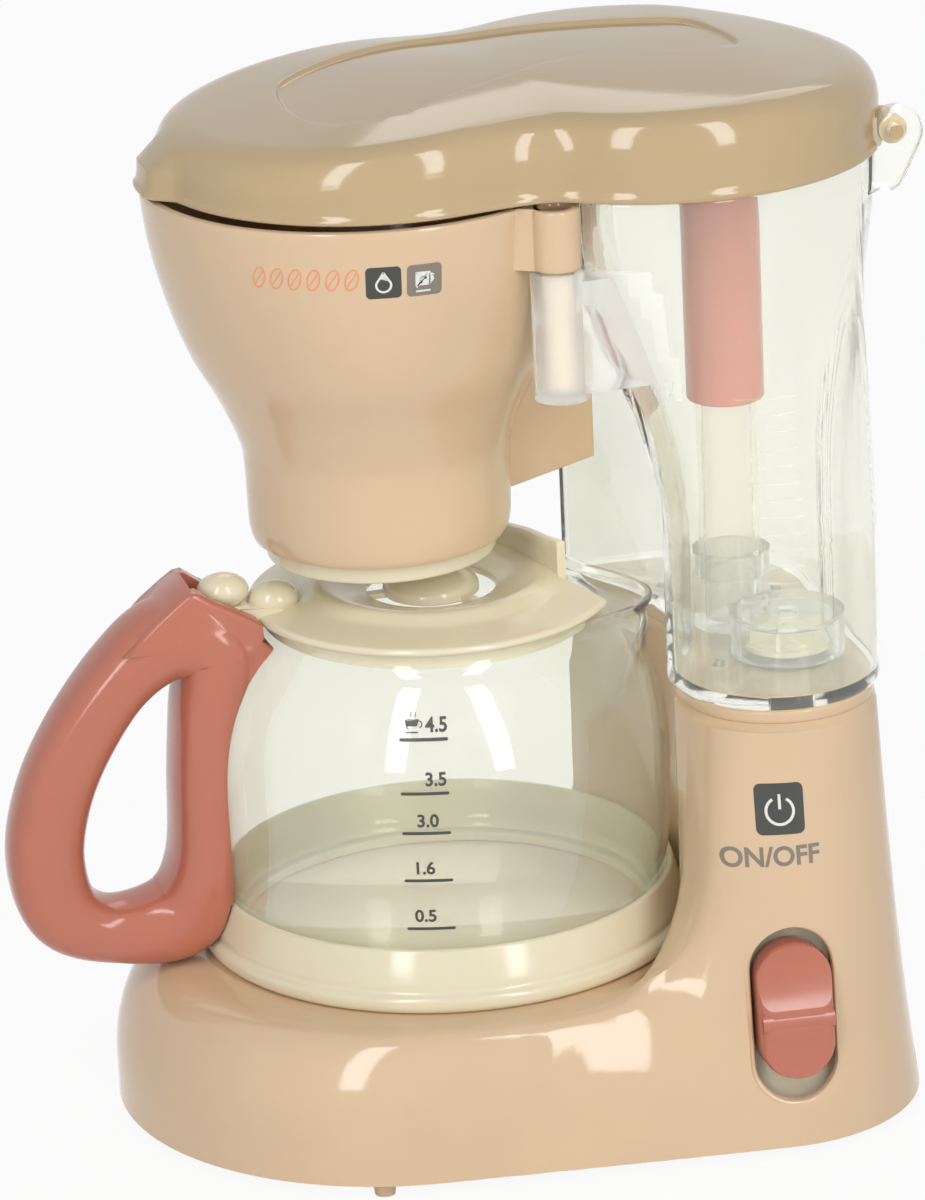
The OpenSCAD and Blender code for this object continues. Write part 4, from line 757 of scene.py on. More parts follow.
# Outline of the sunk panel, and the point that all of it can be seen from
PANEL = [(-30, 14.7), (-25.3, 24.7), (-11, 33.5), (8.8, 37.4), (36.9, 33.3), (60.1, 25.9), (65.6, 14.5),
         (67.1, 1.4), (62.6, -1.9), (47.1, -1.3), (29.5, 2), (9.6, -7.4), (-10.9, -17.1), (-24.7, -14.5),
         (-30.2, -2.2)]
PANEL_MID, PANEL_DEPTH, FLOOR_RINGS = (11.6, 12), 1.05, 14


def closed_curve(points, steps):
    """A smooth closed curve through points, with steps to each stretch."""
    through = curve_through(points[-2:] + points + points[:2], steps)
    return through[2 * steps:(2 + len(points)) * steps]


panel_line = closed_curve(PANEL, 12)


def panel_ring(grow, drop):
    """The panel's outline moved outwards by grow, at a depth below the crown."""
    n = len(panel_line)
    ring = []
    for i, p in enumerate(panel_line):
        q, r = panel_line[(i + 2) % n], panel_line[i - 2]
        d = Vector((q[0] - r[0], q[1] - r[1])).normalized()
        x, y = p[0] - d.y * grow, p[1] + d.x * grow
        ring.append((x, y, crown_z(x, y) - drop))
    return ring


def panel_floor(share, drop):
    """A ring of the panel's floor, drawn in towards its middle by a share."""
    ring = []
    for x, y, _ in panel_ring(-1.4, 0):
        x, y = lerp(x, PANEL_MID[0], share), lerp(y, PANEL_MID[1], share)
        ring.append((x, y, crown_z(x, y) - drop))
    return ring


# How far outside the panel's line, and how deep, each ring of its rounded rim is
RIM_STEPS = [(1.0, -4), (1.0, -0.02), (0.6, 0.03), (0.3, 0.14), (0.1, 0.4), (-0.1, 0.72), (-0.4, 0.96),
             (-1.0, PANEL_DEPTH)]
panel_rings = [panel_ring(grow, drop) for grow, drop in RIM_STEPS]
panel_rings += [panel_floor(k / FLOOR_RINGS, PANEL_DEPTH) for k in range(1, FLOOR_RINGS)]
panel_z = crown_z(*PANEL_MID)
panel = loft(panel_rings, (*PANEL_MID, panel_z + 4), (*PANEL_MID, panel_z - PANEL_DEPTH))
notch_line = arc(EAR_X, LID_PIN_Z, EAR_R + 0.6, 0, 180, 24)
notch_line += arc(EAR_X, LID_PIN_Z - 9, EAR_R + 0.6, 180, 360, 24)
notches = [solid("notch", plate(notch_line, s * EAR_SPAN / 2, EAR_T + 0.8, 0)) for s in (-1, 1)]


def block(x, y, z, deep, wide, high, turn=Matrix()):
    """A box about a point, with its size along X, Y and Z, moved after that by a turn."""
    bm = bmesh.new()
    bmesh.ops.create_cube(bm, size=1, matrix=Matrix.Translation(Vector((x, y, z)) * MM) @ turn
                          @ Matrix.Diagonal((deep * MM, wide * MM, high * MM, 1)))
    return bm


relief = block(EAR_X + 3.5, 0, LID_Z - 0.15, 10, 24, 1.7)
lid = worked(lid, "DIFFERENCE", solid("panel", panel), solid("relief", relief), *notches)
KNUCKLE_R, KNUCKLE_LONG, PIN_LONG, EAR_GAP = 3.1, 8, EAR_T + 1, 0.3
knuckles = []
for s in (-1, 1):
    inner_y = s * (EAR_SPAN / 2 - EAR_T / 2 - EAR_GAP)
    knuckle_y, pin_y = inner_y - s * KNUCKLE_LONG / 2, inner_y + s * (EAR_T + EAR_GAP - PIN_LONG / 2)
    knuckles.append(solid("knuckle", cross_rod(EAR_X, knuckle_y, LID_PIN_Z, KNUCKLE_R, KNUCKLE_LONG, 40)))
    knuckles.append(solid("pin", cross_rod(EAR_X, pin_y, LID_PIN_Z, LID_PIN_R, PIN_LONG, 32)))
lid = worked(lid, "UNION", *knuckles)
# The lid's colour is its beige darkened as painted shade
dress(lid, lid_beige_painted_shade_abs, "lid", "khaki_gloss", "top_lid")

# ---------------------------------------------------------------- Filter basket
# Beige funnel moulded in one with the barrel of its hinge, the web that joins them and a fin
# towards the tank; it swings out on a pin that drops into the tank's socket.
BASKET_FOOT_R, BASKET_H, BASKET_WALL, BASKET_PIN_R = 28.3, 80, 2, 3.2
BASKET_Z = BASKET_TOP - BASKET_H
ROOM_FROM, TOOL_GAP = 32, 0.02


def wide(share):
    """A radius of the basket between its foot and its rim."""
    return lerp(BASKET_FOOT_R, BASKET_R, share)


basket_side = curve_through([(BASKET_FOOT_R, 4), (BASKET_FOOT_R + 0.4, 18), (wide(0.09), 24),
                             (wide(0.29), 33), (wide(0.55), 42.5), (wide(0.73), 52), (wide(0.86), 61),
                             (wide(0.95), 70), (BASKET_R, BASKET_H - 0.5)], 5)
basket_line = [(BASKET_FOOT_R - 2.7, 0), (BASKET_FOOT_R - 1.1, 0), (BASKET_FOOT_R - 0.8, 0.3),
               (BASKET_FOOT_R - 0.35, 1.6)] + basket_side
basket_line += [(BASKET_R - 0.15, BASKET_H - 0.15), (BASKET_R - 0.5, BASKET_H), (BASKET_R - 1.6, BASKET_H)]


def inner_wall(h):
    """The basket's inner radius at a height."""
    return float(np.interp(h, [h for _, h in basket_side], [r for r, _ in basket_side])) - BASKET_WALL


basket_line += [(r - BASKET_WALL, h) for r, h in reversed(basket_side)] + [(BASKET_FOOT_R - 2.7, 1)]
basket = solid("swing_basket", turned(basket_line, BASKET_AT, BASKET_Z, True, 144))
barrel_line = softened([(0, 0, 0), (BARREL_R, 0, 0.5), (BARREL_R, BARREL_H, 0.6), (0, BARREL_H, 0)])
barrel = turned(barrel_line, HINGE_AT, BASKET_TOP - BARREL_H, False, 56)
dish_line = softened([(0, -1.4, 0), (3.4, -1.4, 0.5), (3.9, 1, 0), (0, 1, 0)])
barrel_dish = turned(dish_line, HINGE_AT, BASKET_TOP, False, 48)
hinge_pin = rod(*HINGE_AT, SOCKET_Z + 3, BASKET_PIN_R, SOCKET_H - 2, 48)
WEB_SHARE = 0.16
to_axis = [(b - h) * WEB_SHARE for b, h in zip(BASKET_AT, HINGE_AT)]
basket_web = hulled([(HINGE_AT[0] + dx, HINGE_AT[1] + dy, z, r)
                     for z in (BASKET_TOP - BARREL_H, BASKET_TOP)
                     for dx, dy, r in ((0, 0, 3.6), (*to_axis, 6.5))])
FIN_T, FIN_END = 2.4, 47.8
fin_outline = [(BASKET_AT[0] + x, BASKET_Z + z) for x, z in
               ((BASKET_FOOT_R - 1, 5.4), (FIN_END, 10.6), (FIN_END, 38), (BASKET_FOOT_R + 8, 50),
                (BASKET_FOOT_R + 4, 36))]
# The ledge that the cup is pushed up against
LEDGE_IN, LEDGE_OUT, LEDGE_Z, LEDGE_TOP = BASKET_FOOT_R - 8, BASKET_FOOT_R - 0.5, 22, 24
ledge = turned([(LEDGE_IN, LEDGE_Z), (LEDGE_OUT, LEDGE_Z), (LEDGE_OUT, LEDGE_TOP), (LEDGE_IN, LEDGE_TOP)],
               BASKET_AT, BASKET_Z, True, 96)
basket = worked(basket, "UNION", solid("barrel", barrel), solid("hinge_pin", hinge_pin),
                solid("web", basket_web), solid("fin", plate(fin_outline, BASKET_AT[1], FIN_T, 0.3)),
                solid("ledge", ledge))
# What the unions left inside the basket goes again
room_line = [(0, ROOM_FROM), (inner_wall(ROOM_FROM) - TOOL_GAP, ROOM_FROM)]
room_line += [(r - BASKET_WALL - TOOL_GAP, h) for r, h in basket_side if h > ROOM_FROM]
room_line += [(BASKET_R - BASKET_WALL, BASKET_H + 1), (0, BASKET_H + 1)]
basket = worked(basket, "DIFFERENCE", solid("room", turned(room_line, BASKET_AT, BASKET_Z, False, 144)),
                solid("barrel_dish", barrel_dish))
dress(basket, beige_abs, "basket", "beige_gloss", "filter_basket")

# ---------------------------------------------------------------- Filter cup and nozzle
# Cream cup pushed into the basket's foot, with the drip nozzle snapped through its floor.
CUP_R, CUP_DROP = 24.8, 4.3
cup_line = softened([(3.1, 0, 0), (CUP_R, 0, 0.9), (CUP_R, 25.9, 0.3), (CUP_R - 1.8, 25.9, 0.3),
                     (CUP_R - 1.8, 3, 0.6), (3.1, 3, 0)])
cup = solid("drip_cup", turned(cup_line, BASKET_AT, BASKET_Z - CUP_DROP, True))
dress(cup, cream_abs, "basket", "cream_gloss", "filter_cup")
nozzle_line = softened([(1.4, 0, 0.2), (3, 0, 0.4), (3, 3.3, 0), (5, 3.3, 0.2), (5, 4.9, 0.2), (3, 4.9, 0),
                        (3, 8, 0.2), (1.4, 8, 0)])
nozzle = solid("nozzle", turned(nozzle_line, BASKET_AT, BASKET_Z - CUP_DROP - 0.2, True, 48))
dress(nozzle, cream_abs, "basket", "cream_gloss", "drip_nozzle")

# ---------------------------------------------------------------- Carafe body
# Clear polystyrene jug: straight foot, round belly, drawn-in neck and a lip pulled into a spout.
CARAFE_Z, CARAFE_R, CARAFE_H, CARAFE_WALL, CARAFE_LID_R = SEAT_H + 2.3, 50.4, 73.6, 1.8, 39.3
NECK_R = CARAFE_LID_R - 1.6
carafe_side = curve_through([(CARAFE_R - 2.4, 2), (CARAFE_R - 1.6, 11), (CARAFE_R - 0.4, 20), (CARAFE_R, 30),
                             (CARAFE_R - 0.1, 42), (CARAFE_R - 1.6, 51.5), (CARAFE_R - 4.6, 59),
                             (lerp(NECK_R, CARAFE_R, 0.3), 65.6), (NECK_R, 70), (NECK_R, CARAFE_H - 0.4)], 5)
SPOUT_REACH, SPOUT_TURN, SPOUT_HALF, SPOUT_DROP, SPOUT_FROM_R = 10.5, radians(-20), 0.6, 17, 20
SPOUT_NARROW, SPOUT_SHARP, SPOUT_SQUASH = 2.6, 1.6, 0.6
jug_line = [(0, 0), (CARAFE_R - 3.4, 0), (CARAFE_R - 2.8, 0.4)] + carafe_side
jug_line += [(NECK_R - 0.3, CARAFE_H), (NECK_R - CARAFE_WALL + 0.3, CARAFE_H)]
jug_line += [(r - CARAFE_WALL, h) for r, h in reversed(carafe_side)][:-1]
jug_line += [(CARAFE_R - 4.4, 3.2), (CARAFE_R - 5.6, 2), (0, 2)]
jug = turned(jug_line, CARAFE_AT, CARAFE_Z, False, 180)
for v in jug.verts:
    x, y, h = v.co.x / MM - CARAFE_AT[0], v.co.y / MM - CARAFE_AT[1], v.co.z / MM - CARAFE_Z
    a = atan2(y, x) - SPOUT_TURN
    share = max(0, cos(a * SPOUT_NARROW)) ** SPOUT_SHARP
    pull = SPOUT_REACH * share * ease(CARAFE_H - SPOUT_DROP, CARAFE_H + 1, h)
    if abs(a) < SPOUT_HALF and x * x + y * y > SPOUT_FROM_R ** 2:
        pull_x, pull_y = pull * cos(a), pull * sin(a) * SPOUT_SQUASH
        v.co.x += (pull_x * cos(SPOUT_TURN) - pull_y * sin(SPOUT_TURN)) * MM
        v.co.y += (pull_x * sin(SPOUT_TURN) + pull_y * cos(SPOUT_TURN)) * MM
jug = solid("clear_jug", jug)
dress(jug, clear_ps, "carafe", "clear_plastic", "carafe_body", sharp=50)

# ---------------------------------------------------------------- Carafe base ring
# Cream cup-shaped foot that the jug is glued into, with a rounded skirt that stands on the seat.
RING_R, RING_H = 54, 13.5
ring_line = softened([(CARAFE_R - 5.5, 0, 0.5), (RING_R - 1.6, 0, 0.6), (RING_R - 0.4, 0.8, 0.6),
                      (RING_R, 1.8, 0.6), (RING_R, 3.6, 0.8), (RING_R - 1.6, 4.6, 0.5),
                      (RING_R - 1.6, 6, 0.6), (CARAFE_R - 0.2, RING_H, 0.5),
                      (CARAFE_R - 1.2, RING_H, 0), (CARAFE_R - 1.9, 9, 0),
                      (CARAFE_R - 2.5, 2.2, 0), (CARAFE_R - 5.5, 2.2, 0.5)])
base_ring = solid("carafe_foot", turned(ring_line, CARAFE_AT, SEAT_H + 0.05, True, 180))
dress(base_ring, cream_abs, "carafe", "cream_gloss", "carafe_base_ring")

# ---------------------------------------------------------------- Carafe lid
# Cream disc with a dished ring and a domed plug over the pour hole, a guard wall beside the spout
# and a thumb lever that turns on a steel pin through the handle.
LID_SEAT_Z = CARAFE_Z + CARAFE_H
COVER_AT_Z = LID_SEAT_Z + 0.1
HOLE_R, DOME_R, LEVER_X, LEVER_Z, LEVER_W = 14, 10.5, -50, 2.1, 10
GUARD = [(27.9, -9.2), (25.8, -2), (24.4, 5), (22, 11.5), (18.6, 17), (15.2, 21.2)]
GUARD_T, GUARD_FOOT, GUARD_TOP, GUARD_SPARE, GUARD_SLOPE = 1.8, 3.1, 11.7, 3.1, radians(5.5)
LOBES, LOBE_SIZE = [(-34.9, 3.9), (-45.9, 7)], (5.7, 5.0, 3.8)
skirt_r = NECK_R - CARAFE_WALL
disc_line = softened([(HOLE_R, 2.2, 0.5), (HOLE_R, 0.8, 0.3), (24, 3.2, 0), (28, 1.4, 0),
                      (skirt_r - 1.8, 0, 0), (skirt_r - 1.8, -4, 0.3), (skirt_r - 0.45, -4, 0.3),
                      (skirt_r - 0.45, 0, 0), (CARAFE_LID_R, 0, 0.3), (CARAFE_LID_R + 0.6, 0.8, 0.5),
                      (CARAFE_LID_R, 1.8, 0.6),
                      (34, 2.4, 1.5), (29, 3, 1.2), (25.5, 4.8, 1.0), (23.5, 4.8, 1.2)])
cover = solid("carafe_cover", turned(disc_line, CARAFE_AT, COVER_AT_Z, True, 144))
dome_line = [(0, 1), (DOME_R - 0.3, 1), (DOME_R, 1.3)] + [
    (DOME_R * cos(radians(t)), 2.2 + 4.4 * sin(radians(t))) for t in range(0, 91, 9)]
RIB_WAYS, RIB_AT = (60, 180, 300), 11.5
ribs = [solid("rib", block(*CARAFE_AT, COVER_AT_Z + 1.6, 6, 2.4, 1.2, Matrix.Rotation(radians(t), 4, "Z")
                           @ Matrix.Translation((RIB_AT * MM, 0, 0)))) for t in RIB_WAYS]


def prism(outline, low, high):
    """An upright slab over a plan outline round the carafe's axis."""
    foot = [(CARAFE_AT[0] + x, CARAFE_AT[1] + y, COVER_AT_Z + low) for x, y in outline]
    return slab(foot, (0, 0, high - low))


guard_curve = curve_through(GUARD, 5)
past_end = tuple(lerp(p, q, 1.5) for p, q in zip(GUARD[-2], GUARD[-1]))
opening = prism([(37.7, -31.3)] + guard_curve[:-2] + [past_end, (28, 38), (60, 38), (60, -32)], -6, 24)
guard_shares = [1 - GUARD_T / sqrt(x * x + y * y) for x, y in guard_curve]
guard_inside = [(x * share, y * share) for (x, y), share in zip(guard_curve, guard_shares)]
guard_outside = [(x * 1.02, y * 1.02) for x, y in guard_curve]
guard = prism(guard_outside + guard_inside[::-1], GUARD_FOOT, GUARD_TOP + GUARD_SPARE)
slope_at = Vector((CARAFE_AT[0], CARAFE_AT[1] + GUARD[0][1], COVER_AT_Z + GUARD_TOP)) * MM
cut = bmesh.ops.bisect_plane(guard, geom=guard.verts[:] + guard.edges[:] + guard.faces[:], plane_co=slope_at,
                             plane_no=(0, sin(GUARD_SLOPE), cos(GUARD_SLOPE)), clear_outer=True)["geom_cut"]
top_edges = [e for e in cut if isinstance(e, bmesh.types.BMEdge)]
bmesh.ops.contextual_create(guard, geom=top_edges)
bmesh.ops.bevel(guard, geom=top_edges, offset=0.35 * MM, segments=2, profile=0.5, affect="EDGES", material=-1,
                clamp_overlap=True)
bmesh.ops.recalc_face_normals(guard, faces=guard.faces)


def egg(x, y, z, half_axes):
    """A ball stretched to its half axes along X, Y and Z."""
    bm = bmesh.new()
    bmesh.ops.create_uvsphere(bm, u_segments=40, v_segments=24, radius=MM,
                              matrix=Matrix.Translation(Vector((x, y, z)) * MM)
                              @ Matrix.Diagonal((*half_axes, 1)))
    return bm


LEVER_AT = (CARAFE_AT[0] + LEVER_X, CARAFE_AT[1], COVER_AT_Z + LEVER_Z)
LEVER_R, LEVER_ROOT_X, LEVER_ROOT_Z = 2.5, (-36, -34), (0.8, 3)
lever_sides = [CARAFE_AT[1] + s * LEVER_W / 2 for s in (-1, 1)]
lever_root = [(CARAFE_AT[0] + x, y, COVER_AT_Z + z)
              for z in LEVER_ROOT_Z for x in LEVER_ROOT_X for y in lever_sides]
lever = cross_rod(*LEVER_AT, LEVER_R, LEVER_W, 32)
for corner in lever_root:
    lever.verts.new(Vector(corner) * MM)
bmesh.ops.convex_hull(lever, input=lever.verts)
bmesh.ops.recalc_face_normals(lever, faces=lever.faces)
bmesh.ops.delete(lever, geom=[v for v in lever.verts if not v.link_faces], context="VERTS")
lobes = [solid("lobe", egg(CARAFE_AT[0] + x, CARAFE_AT[1], COVER_AT_Z + z, LOBE_SIZE)) for x, z in LOBES]
cover = worked(cover, "UNION", solid("dome", turned(dome_line, CARAFE_AT, COVER_AT_Z, False, 72)), *ribs,
               solid("guard", guard), solid("lever", lever), *lobes)
cover = worked(cover, "DIFFERENCE", solid("opening", opening))
dress(cover, cream_abs, "carafe_lid", "cream_gloss", "carafe_lid")

# ---------------------------------------------------------------- Carafe handle
# Terracotta loop in two glued halves that hugs jug and foot, with a slot for the lid's lever.
HANDLE_REACH, GRIP = 96.7, 8.5
# Reach from the jug's axis, height over the seat, half width and half thickness round the loop
STATIONS = [(HANDLE_REACH - 11.5, 14.5, 8.2, GRIP), (HANDLE_REACH - 8.4, 27, 8.4, GRIP),
            (HANDLE_REACH - 10.9, 40.6, 8.2, GRIP), (HANDLE_REACH - 17.2, 53.7, 7.9, GRIP),
            (HANDLE_REACH - 26.9, 66.5, 7.7, GRIP + 0.5), (59, 73.8, 8.8, GRIP + 1.1),
            (48.6, 71, 8.6, GRIP + 2.5), (50.9, 56.6, 7.8, GRIP + 3), (52.3, 42.6, 7.6, GRIP + 3),
            (53.7, 21.6, 7.8, GRIP + 3), (59.5, 10.2, 9, GRIP + 1.5), (HANDLE_REACH - 22, 8.8, 7, GRIP)]
HANDLE_STEPS, HANDLE_SIDES, SQUARENESS = 10, 36, 0.75
loop = closed_curve(STATIONS, HANDLE_STEPS)


def squared(v):
    """Flattens the sides of a round section."""
    return (1 if v >= 0 else -1) * abs(v) ** SQUARENESS


handle = bmesh.new()
ring = first = list(bmesh.ops.create_circle(handle, segments=HANDLE_SIDES, radius=1)["verts"])
for k, (r, h, half_w, half_t) in enumerate(loop):
    ahead, behind = loop[(k + 1) % len(loop)], loop[k - 1]
    dx, dz = ahead[0] - behind[0], ahead[1] - behind[1]
    length = sqrt(dx * dx + dz * dz)
    if k:
        ring = next_ring(handle, ring)
    for j, vert in enumerate(ring):
        turn = 2 * pi * j / HANDLE_SIDES
        c, w = squared(cos(turn)) * half_w, squared(sin(turn)) * half_t
        vert.co = Vector((CARAFE_AT[0] - (r + c * dz / length), CARAFE_AT[1] + w,
                          SEAT_H + h - c * dx / length)) * MM
last_edges = [handle.edges.get(pair) for pair in zip(ring, ring[1:] + ring[:1])]
first_edges = [handle.edges.get(pair) for pair in zip(first, first[1:] + first[:1])]
bmesh.ops.bridge_loops(handle, edges=last_edges + first_edges)
bmesh.ops.recalc_face_normals(handle, faces=handle.faces)
handle = solid("grip_handle", handle)
CHEEK = [(-70, 73.4), (-62.3, 80.7), (-57.7, 84.2), (-55, 86), (-53.2, 86.2), (-49.7, 83.6), (-44.4, 80.6),
         (-40.2, 78.1), (-38.6, 76.4), (-39.4, 73.3), (-37, 71.6), (-38.5, 67.9), (-41.8, 60.3),
         (-44.4, 52.7), (-50, 55), (-56.5, 73)]
CHEEK_W, CHEEK_ROUND = 19.2, 0.9
cheeks = plate([(CARAFE_AT[0] + x, SEAT_H + z) for x, z in CHEEK], CARAFE_AT[1], CHEEK_W, CHEEK_ROUND)
handle = worked(handle, "UNION", solid("cheeks", cheeks))
HUG_GAP, PIN_BORE_R, PIN_BORE_LONG = 0.35, 1.21, 16.2
hug_line = [(0, -8), (CARAFE_R - 2, -8)] + [(r + HUG_GAP, h) for r, h in carafe_side if h > 1]
hug_line += [(NECK_R + HUG_GAP, 72), (CARAFE_LID_R + 1.2, CARAFE_H - 1.2),
             (CARAFE_LID_R + 1.2, CARAFE_H + 12), (0, CARAFE_H + 12)]
foot_line = [(0, -2), (RING_R + HUG_GAP, -2), (RING_R + HUG_GAP, 5), (RING_R - 1.2, 5.6),
             (CARAFE_R + 0.4, 14), (0, 14)]
foot_room = turned(foot_line, CARAFE_AT, SEAT_H, False, 144)
lever_slot = block(CARAFE_AT[0] + LEVER_X + 3, CARAFE_AT[1], LID_SEAT_Z + 8.8, 14, LEVER_W + 0.6, 20)
pin_hole = cross_rod(*LEVER_AT, PIN_BORE_R, PIN_BORE_LONG, 24)
handle = worked(handle, "DIFFERENCE", solid("hug", turned(hug_line, CARAFE_AT, CARAFE_Z, False, 144)),
                solid("foot_room", foot_room), solid("lever_slot", lever_slot), solid("pin_hole", pin_hole))
dress(handle, terracotta_abs, "carafe", "terracotta_gloss", "carafe_handle", sharp=45)

# ---------------------------------------------------------------- Switch slider
# Terracotta thumb slider with two finger hollows and a ridge between them; its stem works the
# small slide switch screwed behind the slot.
slider_frame = switch_face @ Matrix.Translation((0, 0, SLIDER_REST * MM))
slider_steps = [(4.4, 0), (-0.8, 0), (-2.0, -0.25), (-2.9, -0.8), (-3.5, -1.7), (-3.8, -2.9)]
slider = loft([stadium(SLIDER_W, SLIDER_L, d, g) for d, g in slider_steps], (0, 4.4, 0), (0, -3.8, 0))
slider = solid("thumb_slider", slider)


def side_rod(y, z, r, long, steps):
    """A cylinder from side to side of the slider."""
    bm = bmesh.new()
    bmesh.ops.create_cone(bm, cap_ends=True, segments=steps, radius1=r * MM, radius2=r * MM, depth=long * MM,
                          matrix=Matrix.Translation(Vector((0, y, z)) * MM) @ Matrix.Rotation(pi / 2, 4, "Y"))
    return bm


ridge = side_rod(-1.9, -2, 2.2, SLIDER_W - 0.8, 40)
slider = worked(slider, "UNION", solid("ridge", ridge), solid("stem", block(0, 7.5, 0, 4, 6.4, 4)))
# Each finger hollow's centre in front of the face and above the middle, and its radius
HOLLOWS = ((-15.4, 8.6, 14), (-24.8, -13, 22.6))
hollows = [solid("hollow", side_rod(y, z, r, 40, 120)) for y, z, r in HOLLOWS]
slider = worked(slider, "DIFFERENCE", *hollows)
slider.data.transform(slider_frame)
dress(slider, terracotta_abs, "switch", "terracotta_gloss", "switch_slider", sharp=30)

# ---------------------------------------------------------------- Printed marks
# Pad-printed marks, thin layers of ink: the scale on the jug, a row of beans and two badges on the
# basket, and the power badge with ON/OFF on the pillar. The tank's scale is moulded in fine ribs.
INK, INK_SINK, CUT_STEP, OUTSIDE, BOLD = 0.06, 0.03, 0.9, 0.2, 0.025
ink_dark = moulded("dark_ink", (66, 66, 62), gloss=0.35)
ink_grey = moulded("grey_ink", (132, 122, 110), gloss=0.35)
ink_orange = moulded("orange_ink", (236, 150, 112), gloss=0.35)
ink_white = moulded("white_ink", (226, 226, 218), gloss=0.35)


def print_on(piece, name, drawing, at, azimuth, ink, slot, body, high=0.0, layer=0):
    """Lays a drawing on a surface: outlines in millimetres, or text with its height.
    It is centred on the ray through the point at, coming in from the azimuth."""
    flat = bpy.data.curves.new(name, "FONT" if isinstance(drawing, str) else "CURVE")
    if isinstance(drawing, str):
        flat.body, flat.align_x, flat.align_y, flat.offset = drawing, "CENTER", "CENTER", BOLD
    else:
        flat.dimensions, flat.fill_mode = "2D", "BOTH"
        for outline in drawing:
            line = flat.splines.new("POLY")
            line.points.add(len(outline) - 1)
            for held, (x, y) in zip(line.points, outline):
                held.co = (x * MM, y * MM, 0, 1)
            line.use_cyclic_u = True
    drawn = bpy.data.objects.new(name, flat)
    bpy.context.scene.collection.objects.link(drawn)
    bpy.context.view_layer.update()
    bm = bmesh.new()
    bm.from_mesh(bpy.data.meshes.new_from_object(drawn.evaluated_get(bpy.context.evaluated_depsgraph_get())))
    bpy.data.objects.remove(drawn)
    low, top = min(v.co.y for v in bm.verts), max(v.co.y for v in bm.verts)
    if high:
        size = high * MM / (top - low)
        middle = (min(v.co.x for v in bm.verts) + max(v.co.x for v in bm.verts)) / 2
        for v in bm.verts:
            v.co = Vector((v.co.x - middle, v.co.y - (low + top) / 2, 0)) * size
    bmesh.ops.remove_doubles(bm, verts=bm.verts, dist=1e-7)
    for side in (0, 1):
        reach_mm = max(abs(v.co[side]) for v in bm.verts) / MM
        for k in range(int(-reach_mm / CUT_STEP), int(reach_mm / CUT_STEP) + 1):
            plane_co, plane_no = Vector((0, 0, 0)), Vector((0, 0, 0))
            plane_co[side], plane_no[side] = k * CUT_STEP * MM, 1
            bmesh.ops.bisect_plane(bm, geom=bm.verts[:] + bm.edges[:] + bm.faces[:], plane_co=plane_co,
                                   plane_no=plane_no)
    made = bmesh.ops.extrude_face_region(bm, geom=bm.faces[:])["geom"]
    raised = {v for v in made if isinstance(v, bmesh.types.BMVert)}
    surface = BVHTree.FromObject(piece, bpy.context.evaluated_depsgraph_get())
    out = Vector((cos(radians(azimuth)), sin(radians(azimuth)), 0))
    side_way = Vector((0, 0, 1)).cross(out)
    for v in bm.verts:
        start = Vector(at) * MM + side_way * v.co.x + Vector((0, 0, v.co.y)) + out * OUTSIDE
        hit = surface.ray_cast(start, -out)[0]
        v.co = hit + out * MM * (INK * (layer + 1) if v in raised else INK * layer - INK_SINK)
    bmesh.ops.recalc_face_normals(bm, faces=bm.faces)
    dress(solid(name, bm), ink, body, slot, sharp=30)


def drawn_line(points, width):
    """The outline of a drawn line of one width through points."""
    left, right = [], []
    for i, (x, y) in enumerate(points):
        q, r = points[min(i + 1, len(points) - 1)], points[max(i - 1, 0)]
        d = Vector((q[0] - r[0], q[1] - r[1])).normalized() * width / 2
        left.append((x - d.y, y + d.x))
        right.append((x + d.y, y - d.x))
    return left + right[::-1]


def box_outline(wide, high, r):
    """A rectangle with rounded corners."""
    return [p for sx, sy, a in ((1, 1, 0), (-1, 1, 90), (-1, -1, 180), (1, -1, 270))
            for p in arc(sx * (wide / 2 - r), sy * (high / 2 - r), r, a, a + 90, 6)]


def oval(rx, ry, lean, steps=32):
    """A leaning oval about the drawing's middle."""
    flat = [(rx * cos(2 * pi * i / steps), ry * sin(2 * pi * i / steps)) for i in range(steps)]
    return [(p * cos(lean) - q * sin(lean), p * sin(lean) + q * cos(lean)) for p, q in flat]


# Figure, height of its line, height of the figure and the direction it is seen from
JUG_SCALE = [("4.5", 96.0, 98.8, -103.6), ("3.5", 85.1, 88.1, -104.2), ("3.0", 76.4, 79.2, -106.5),
             ("1.6", 65.6, 68.5, -107.6), ("0.5", 54.3, 57.4, -108.2)]
LINE_WAY, FIGURE_H = -107, 2.9
for k, (figure, line_z, figure_z, figure_way) in enumerate(JUG_SCALE):
    print_on(jug, "jug_line_%d" % k, [box_outline(10.3, 0.65, 0.3)], (*CARAFE_AT, line_z), LINE_WAY, ink_dark,
             "black_plastic", "carafe")
    print_on(jug, "jug_figure_%d" % k, figure, (*CARAFE_AT, figure_z), figure_way, ink_dark, "black_plastic",
             "carafe", high=FIGURE_H)
cup_bowl = [(-1.5, 0.4), (-1.3, -0.8), (-0.8, -1.4), (0.6, -1.4), (1.1, -0.8), (1.3, 0.4), (-1.5, 0.4)]
cup_drawing = [drawn_line(cup_bowl, 0.25), drawn_line(arc(1.35, -0.4, 0.6, -80, 80, 8), 0.25),
               drawn_line([(-1.4, -1.9), (1.2, -1.9)], 0.25)]
cup_drawing += [drawn_line([(x, 0.9), (x + 0.2, 1.4), (x, 1.9)], 0.2) for x in (-0.5, 0.4)]
print_on(jug, "jug_cup", cup_drawing, (*CARAFE_AT, 99.3), -109.9, ink_dark, "black_plastic", "carafe")

